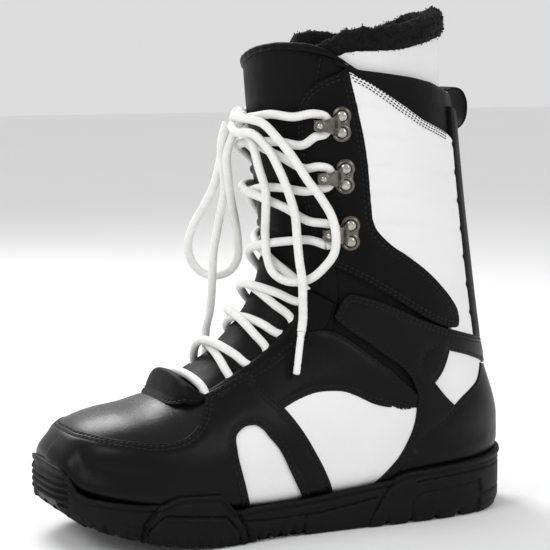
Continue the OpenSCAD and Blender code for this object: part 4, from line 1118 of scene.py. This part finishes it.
# Fleece collar: a thick roll over the liner's top with a tufted pile
TUFTS = 16000
v = np.linspace(0, 360, 220, endpoint=False)
deep = -7.4 - 3.4 * np.clip((-np.cos(np.radians(v)) + 0.1) / 0.8, 0, 1) - 2.4 * np.clip(np.cos(np.radians(v)), 0, 1)
t_top = roll_line(v)
base = upper(t_top, v, deep)
up = unit(upper(t_top + 0.05, v, deep) - base)
outw = unit(upper(t_top, v, deep + 3) - base)
high = 15.2 + 2.0 * np.clip(-np.cos(np.radians(v)), 0, 1)
section = smooth([[3.4, 0.4], [5.2, 3.5], [5.7, 8.4], [4.2, 13.4], [0.4, 15.4], [-3.3, 13.6], [-4.8, 8.4], [-4.7, 0],
                  [-4.5, -14],
                  [-4.4, -28], [-3.1, -28], [-2.8, -14], [-1.0, -1.2], [3.4, 0.4]], 1.3)[:-1]
ring = []
for x, y in section:
    ring.append(base + (y * np.where(y > 0, high / 15.4, 1.0))[:, None] * up + x * outw)
ring = np.array(ring)
lump = rng.normal(size=ring.shape[:2])
for _ in range(2):
    lump = (lump + np.roll(lump, 1, 0) + np.roll(lump, -1, 0) + np.roll(lump, 1, 1) + np.roll(lump, -1, 1)) / 5
middle = ring.mean(0, keepdims=True)
ring = ring + unit(ring - middle) * (1.1 * lump / lump.std())[..., None] * 0.45
roll_p, roll_f = grid(np.concatenate([ring, ring[:1]]), wrap=True)
nk, nv = ring.shape[:2]
pick = rng.integers(0, nk * nv, TUFTS)
flat = ring.reshape(-1, 3)
pick = pick[np.abs(pick // nv - 12) < 16]
out_dir = unit(ring - middle).reshape(-1, 3)
c = flat[pick] + rng.normal(scale=0.35, size=(len(pick), 3))
n3 = unit(out_dir[pick] + rng.normal(scale=0.45, size=(len(pick), 3)))
sidev = unit(np.cross(n3, rng.normal(size=(len(pick), 3))))
third = np.cross(n3, sidev)
lens = rng.uniform(0.5, 1.1, len(pick))[:, None]
w = rng.uniform(0.35, 0.7, len(pick))[:, None]
curl = unit(sidev + 0.4 * third)
cone = np.stack([c + w * sidev, c - 0.5 * w * sidev + 0.87 * w * third, c - 0.5 * w * sidev - 0.87 * w * third,
                 c + lens * n3 + 0.8 * lens * curl * 0.5], 1)
tuft_faces = [[4 * i + a, 4 * i + b, 4 * i + 3] for i in range(len(pick)) for a, b in ((0, 1), (1, 2), (2, 0))]
fleece = make("fleece_roll", [(roll_p, roll_f, FLEECE), (cone.reshape(-1, 3), tuft_faces, FLEECE)], "cuff",
              nodes=["liner_collar"])

# ---------- pull loop, hooks, keeper ----------

loop_line = smooth([[0, 116.5, 266.5], [0, 121, 267.8], [0, 126, 266.6], [0, 129.4, 261.5], [0, 130.3, 254.5],
                    [0, 129, 248],
                    [0, 125.5, 243.6], [0, 121, 241.8], [0, 116.5, 241.8]], 1.2)
strap = band(loop_line, np.tile([1.0, 0, 0], (len(loop_line), 1)), 20, 1.7)
make("pull_loop_webbing", [(*strap, WEBBING)], "cuff", nodes=["pull_loop"])


def placed(t, v, h, parts, side=1):
    """Parts made flat, stood on the surface"""
    p, m = stand(t, v, h)
    return [(((np.asarray(q) @ m) + p) * [side, 1, 1], f if side > 0 else [g[::-1] for g in f], mat) for q, f,
            mat in parts]


def plate(points, z0, z1, bevel=0.25, mat=None):
    """A flat plate with bevelled edges from an anticlockwise outline"""
    a = np.asarray(points, float)
    c = a.mean(0)
    d = unit(np.roll(a, -1, 0) - np.roll(a, 1, 0))
    inn = a + bevel * np.stack([-d[:, 1], d[:, 0]], 1)
    rows = np.array([np.column_stack([inn, np.full(len(a), z0)]), np.column_stack([a, np.full(len(a), z0 + bevel)]),
                     np.column_stack([a, np.full(len(a), z1 - bevel)]), np.column_stack([inn, np.full(len(a), z1)])])
    p, f = grid(rows, wrap=True)
    n = len(a)
    return p, f + [list(range(n))[::-1], list(range(3 * n, 4 * n))], mat


RIVET_Y = 5


def figure_eight(r, waist, k=22):
    """Two circles joined by a waist, anticlockwise"""
    th = np.radians(np.linspace(-215, 35, k))
    low = np.stack([r * np.cos(th), r * np.sin(th) - RIVET_Y], 1)
    return np.concatenate([low, [[waist, 0]], -low, [[-waist, 0]]])


def hook_parts():
    parts = [plate(figure_eight(5.7, 4.7), -0.2, 0.9, 0.3, NICKEL)]
    # a raised rim round each rivet's seat
    for s in (-1, 1):
        p, f = lathe([(0, 0.8), (5.3, 0.8), (5.15, 1.35), (4.6, 1.65), (4.0, 1.45), (3.4, 0.9), (0, 0.9)], 36)
        parts.append((p + [0, s * RIVET_Y, 0], f, NICKEL))
    # the neck rises from the plate over the lace, narrows, and curls down round it
    path = smooth([[-1.0, 0, 1.3], [-3.0, 0, 2.4], [-4.5, 0, 5.6], [-6.2, 0, 7.9], [-9.5, 0, 8.5], [-12.8, 0, 8.5],
                   [-15.2, 0, 7.8],
                   [-16.5, 0, 5.8], [-16.4, 0, 3.2], [-15.2, 0, 1.4], [-12.5, 0, 0.6], [-8.5, 0, 0.5]], 0.5)
    s = np.concatenate([[0], np.cumsum(np.linalg.norm(np.diff(path, axis=0), axis=1))])
    width = np.interp(s, [0, 3, 6, 9, 12, 15.5, 18, 20, 24, 28, 40], [13.2, 12.4, 11.4, 10.0, 7.6, 6.0, 6.4, 6.2, 5.4,
            5.4, 6])
    tng = unit(np.gradient(path, axis=0))
    up = np.stack([-tng[:, 2], np.zeros(len(path)), tng[:, 0]], 1)
    th = np.linspace(0, 2 * np.pi, 28, endpoint=False)
    c, q = np.sign(np.cos(th)) * np.abs(np.cos(th)) ** 0.4, np.sign(np.sin(th)) * np.abs(np.sin(th)) ** 0.7
    rows = path[:, None] + (width[:, None] / 2 * c)[..., None] * np.array([0, 1.0, 0]) + (0.7 * q)[None, :,
            None] * up[:, None]
    parts.append((*loft(rows[::-1]), NICKEL))
    head, hf = lathe([(0, 7.9), (3.2, 7.9), (3.7, 8.4), (3.6, 9.2), (3.0, 9.5), (2.4, 9.25), (0, 9.2)], 32)
    parts.append((head + [-13.4, 0, 0], hf, NICKEL))
    stud, sf = lathe([(0, 9.0), (1.7, 9.0), (1.75, 9.5), (1.3, 10.0), (0.6, 10.25), (0, 10.3)], 24)
    parts.append((stud + [-13.4, 0, 0], sf, RIVET))
    return parts


def rivet_parts():
    parts = []
    for s in (-1, 1):
        p, f = lathe([(0, 0.7), (2.9, 0.7), (3.25, 0.95), (3.3, 1.35), (3.0, 1.9), (2.3, 2.4), (1.3, 2.75),
                      (0.5, 2.85), (0, 2.87)], 36)
        parts.append((p + [0, s * RIVET_Y, 0], f, RIVET))
    return parts


for side, tag in ((1, "lateral"), (-1, "medial")):
    hooks, rivets = [], []
    for t in HOOK_T:
        hooks += placed(t, HOOK_V, 1.3, hook_parts(), side)
        rivets += placed(t, HOOK_V, 1.3, rivet_parts(), side)
    make(f"speed_hooks_{tag}", hooks, "cuff", sharp=40, nodes=[f"lace_hooks_{tag}"])
    make(f"rivet_heads_{tag}", rivets, "cuff", nodes=[f"hook_rivets_{tag}"])

    # webbing loops that hold the lower lace
    loops = []
    for a, b in LOOP_T:
        c, m = stand((a + b) / 2, 39, 0)
        way = unit(upper(b, 36.0) - upper(a, 36.0))
        n = m[2]
        across = unit(np.cross(n, way))
        k = upper((a + b) / 2, 39, TURN_H)
        ths = np.linspace(-0.25 * np.pi, 1.32 * np.pi, 26)
        arc = k + 3.3 * (np.cos(ths)[:, None] * n - np.sin(ths)[:, None] * across)
        loops.append((arc, way))
    parts = []
    for arc, way in loops:
        p, f = band(arc, np.tile(way, (len(arc), 1)), 8.0, 0.9)
        parts.append((p * [side, 1, 1], f if side > 0 else [g[::-1] for g in f], WEBBING))
    # the folded edge of the tongue's bed, which the lace dives under
    t = np.linspace(5.42, 9.96, 110)
    front = np.interp(t, [5.4, 6.0, 6.65, 7.3, 8.0, 9.0, 10.0], [26.5, 28.5, 31, 32.5, 33, 34, 35.5])
    u = np.linspace(0, 1, 22)
    tt, uu = np.meshgrid(t, u, indexing="ij")
    vv = front[:, None] + 15 * uu
    ends = np.clip(np.minimum(tt - 5.42, 9.96 - tt) / 0.12, 0, 1) ** 0.5
    h = -0.4 + (3.3 * np.clip(uu / 0.22, 0, 1) ** 0.5 - 2.6 * np.clip((uu - 0.35) / 0.65, 0, 1)) * ends
    parts.append((*closed_grid(upper(tt, side * vv, h), upper(tt, side * vv, h - 0.9)), MATT_LEATHER))
    make(f"lace_webbing_{tag}", parts, "foot", nodes=[f"lace_loops_{tag}"])

keeper = placed(13.25, 0, 0.35, [plate([(6.5 * math.cos(a), 4.6 * math.sin(a)) for a in
                                        np.linspace(0, 2 * math.pi, 32, endpoint=False)], -0.3, 0.5, 0.2, NICKEL)])
make("keeper_plate", keeper, "cuff", sharp=40, nodes=["lace_keeper"])

# ---------- sole ----------

def ramp(x, a, b):
    f = np.clip((x - a) / (b - a), 0, 1)
    return f * f * (3 - 2 * f)


def near_line(y, z, pts, width):
    """1 on a line drawn in side view, falling to 0 at width from it"""
    p = resample(np.array(pts, float), 0.4)
    q = np.stack([y.ravel(), z.ravel(), np.zeros(y.size)], 1)
    d = distance(q, np.column_stack([p, np.zeros(len(p))]))
    return np.exp(-(d / width) ** 2).reshape(y.shape)


def in_shape(y, z, pts):
    return inside(np.stack([y.ravel(), z.ravel()], 1), np.array(pts, float)).reshape(y.shape)


line = sole_line(1.0)
n = len(line)
tang = unit(np.roll(line, -1, 0) - np.roll(line, 1, 0))
outn = np.stack([tang[:, 1], -tang[:, 0]], 1)
if ((line - line.mean(0)) * outn).sum() < 0:
    outn = -outn
for _ in range(6):
    outn = unit(outn + np.roll(outn, 1, 0) + np.roll(outn, -1, 0))
y0 = line[:, 1]
top = np.interp(y0, SOLE_TOP[:, 0], SOLE_TOP[:, 1])
low = np.interp(y0, SOLE_LOW[:, 0], SOLE_LOW[:, 1])


def tooth(y, a, b, pitch, depth, sharp):
    """Notches in the bottom edge from a to b, pitch apart"""
    f = np.abs((y - a) / pitch - np.floor((y - a) / pitch) - 0.5) * 2
    return depth * np.clip((f - sharp) / (1 - sharp), 0, 1) * ((y > a) & (y < b))


low = low + tooth(y0, -141, -107, 5.6, 2.6, 0.45) + tooth(y0, -105, -42, 7.0, 1.8, 0.6) + tooth(y0, -36, -3, 8.2, 4.4,
        0.0)
for a, w in ((53, 4), (70, 5), (88, 4), (106, 5)):
    low = low + 2.6 * np.clip(1.4 - np.abs(y0 - a) / (w / 2), 0, 1)
rows = np.linspace(0, 1, 46)[:, None]
Z = low + (top - low) * rows
Y = np.broadcast_to(y0, Z.shape)
D = np.zeros_like(Z)
# lip along the top edge, and the wall's slight flare below it
D += 0.9 * np.exp(-((top - Z - 1.3) / 1.3) ** 2) - 0.7 * np.exp(-((top - Z - 4.0) / 1.2) ** 2)
D -= 1.6 * ramp(Z - low, 5.0, 0.0)
# ribbed bumper round the toe
toe = ramp(y0, -145.2, -147.2)[None] * np.ones_like(Z)
field = toe * (Z > 27) * (Z < 46)
D = np.where(toe > 0.5, D * 0.3, D)
D -= 1.3 * field
for z in (30, 34, 38, 42):
    D += 1.9 * field * np.exp(-((Z - z) / 1.05) ** 4)
# side blocks, grooves and insert, on both sides
# as (depth, width, points in side view), where a width of 0 means the whole shape inside the points
MARKS = (
    (1.5, 0, [(-110, 8), (-107, 19), (-97, 30), (-89, 36), (-62, 36), (-56, 27), (-46, 12), (-42, -2), (-112, -2)]),
    (-1.5, 0.9, [(-100.5, 29), (-108.5, 19), (-110.5, 10)]),
    (-1.5, 0.9, [(-60, 34), (-54, 25), (-44.5, 12), (-41, 0)]),
    (-1.4, 0.55, [(-107, 13), (-106, 16), (-97, 23.5), (-58, 19), (-50, 9), (-47, 0)]),
    (0.7, 0.6, [(-104, 14), (-96, 21.3), (-59.5, 16.8), (-53, 8), (-50, 1)]),
    (0.8, 0.8, [(-133, 27), (-126, 23), (-117, 19.3), (-111, 19)]),
    (-1.2, 0.7, [(-48, 14.5), (-30, 13), (6, 13), (24, 15.5), (46, 18.5)]),
    (1.3, 0, [(40, -2), (44, 8), (49, 14.5), (59, 28), (64, 40), (175, 48), (175, -2)]),
    (-1.0, 0.7, [(42, 4), (47.5, 14), (57.5, 28)]),
    (-1.2, 0.65, [(73, 26), (90, 27.2), (105, 28), (133, 29), (152, 29.5)]),
    (-0.9, 0, [(71, -2), (71, 13), (76, 18), (112, 20), (120, 20.5), (122, 18), (121, -2)]),
    (-1.5, 0.6, [(70.5, 3), (70.5, 13), (76, 18.5), (112, 20.7), (121, 21.3), (122.6, 17), (121.5, 4)]),
    (-1.1, 0.7, [(123, 12), (135, 13), (152, 14)]),
)
for depth, width, points in MARKS:
    D += depth * (near_line(Y, Z, points, width) if width else in_shape(Y, Z, points))
bump = rng.normal(size=Z.shape) * 0.02
XY = line[None] + (D + bump)[..., None] * outn[None]
wall = np.concatenate([XY, Z[..., None]], -1)
# the lip turns over the top edge and goes down inside, against the upper
inner = [np.concatenate([line - a * outn, (top + b)[:, None]], 1)[None] for a, b in ((1.4, 0.5), (3.2, -0.8),
        (5.5, -7))]
# under the edge the sole turns in to the tread's base
base1 = np.concatenate([line - 2.6 * outn, np.maximum(low - 0.2, 0.3)[:, None] + 0.2], 1)
base2 = np.concatenate([line - 5.0 * outn, (low + 1.6)[:, None]], 1)
shell = np.concatenate([base2[None], base1[None], wall, *inner])
sole_p, sole_f = grid(shell, wrap=True)
if area(line) < 0:
    sole_f = [q[::-1] for q in sole_f]
parts = [(sole_p, sole_f, RUBBER)]

# the tread's base, and its lugs
inner_line = line - 4.8 * outn
ys = np.linspace(-150, 148, 150)
base = []
for y in ys:
    i = np.argsort(np.abs(inner_line[:, 1] - y))[:40]
    xs = inner_line[i, 0]
    z = np.interp(y, SOLE_LOW[:, 0], SOLE_LOW[:, 1]) + 2.6
    base.append([[x, y, z] for x in np.linspace(xs.max(), xs.min(), 24)])
p, f = grid(np.array(base))
parts.append((p, [q[::-1] for q in f], RUBBER))


def lug(poly, z_low, z_high, taper=0.8):
    """A tread lug: wide at its root, bevelled at its foot"""
    a = np.asarray(poly, float)
    if area(a) < 0:
        a = a[::-1]
    d = unit(np.roll(a, -1, 0) - np.roll(a, 1, 0))
    inn = np.stack([-d[:, 1], d[:, 0]], 1)
    zl, zh = (np.full(len(a), q) if np.isscalar(q) else q for q in (z_low, z_high))
    rows = np.array([np.column_stack([a + (taper + 0.5) * inn, zl]), np.column_stack([a + taper * inn, zl + 0.5]),
                     np.column_stack([a, zh])])
    p, f = grid(rows, wrap=True)
    n = len(a)
    return p, f + [list(range(n))[::-1]], RUBBER


def rocker(y):
    return np.maximum(np.interp(y, SOLE_LOW[:, 0], SOLE_LOW[:, 1]) - 0.6, 0.0)


for y in np.arange(-140, 146, 11.0):
    width = along(SOLE_WIDTHS, np.interp(y, SOLE_WIDTHS[:, 0], np.arange(16)))
    right, left = width[1] - 4.5, width[2] + 4.5
    span = right - left
    count = max(int(round(span / 19)), 2)
    for k in range(count):
        x0 = left + span * k / count + 1.3
        x1 = left + span * (k + 1) / count - 1.3
        skew = 2.2 * (1 if (x0 + x1) / 2 > 0 else -1)
        poly = [(x0, y - 3.9), (x1, y - 3.9 + skew * 0.5), (x1, y + 3.9 + skew * 0.5), ((x0 + x1) / 2, y + 5.0),
                (x0, y + 3.9)]
        a = np.array(poly)
        parts.append(lug(a, rocker(a[:, 1]), rocker(a[:, 1]) + 3.4))
make("cup_sole", parts, "foot", sharp=50, nodes=["outsole"])

# ---------- CAD nodes that stay ----------

for node, mat in (("midsole", FOAM), ("shank", STEEL), ("lasting_board", BOARD), ("footbed", FOOTBED),
                  ("toe_stiffener", SHEET), ("heel_stiffener", SHEET)):
    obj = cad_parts[node]
    for s in obj.material_slots:
        s.material = mat
    if not obj.material_slots:
        obj.data.materials.append(mat)

# ---------- floor and light ----------

floor = bpy.data.objects.new("floor", bpy.data.meshes.new("floor"))
floor.data.from_pydata([(-6, -6, 0), (6, -6, 0), (6, 6, 0), (-6, 6, 0)], [], [(0, 1, 2, 3)])
bpy.context.collection.objects.link(floor)
floor.data.materials.append(look("floor", (0.90, 0.90, 0.90), (0.89, 0.89, 0.89), (0.7, 0.8), patches=2))

world = bpy.data.worlds.new("studio")
world.use_nodes = True
world.node_tree.nodes["Background"].inputs["Color"].default_value = (1, 1, 1, 1)
world.node_tree.nodes["Background"].inputs["Strength"].default_value = 0.72
bpy.context.scene.world = world


def area_light(name, place, aim, size, power):
    light = bpy.data.objects.new(name, bpy.data.lights.new(name, "AREA"))
    light.data.shape = "RECTANGLE"
    light.data.size, light.data.size_y = size
    light.data.energy = power
    light.location = place
    light.rotation_euler = (Vector(aim) - Vector(place)).to_track_quat("-Z", "Y").to_euler()
    bpy.context.collection.objects.link(light)


area_light("key", (0.5, -1.3, 1.3), (0, -0.02, 0.12), (0.6, 0.6), 8)
area_light("side", (1.5, 0.7, 1.0), (0, 0.03, 0.15), (0.5, 0.9), 5)
area_light("top", (-1.0, -0.15, 1.1), (0, -0.05, 0.10), (0.7, 0.7), 14)
bpy.context.scene.view_settings.view_transform = "Standard"
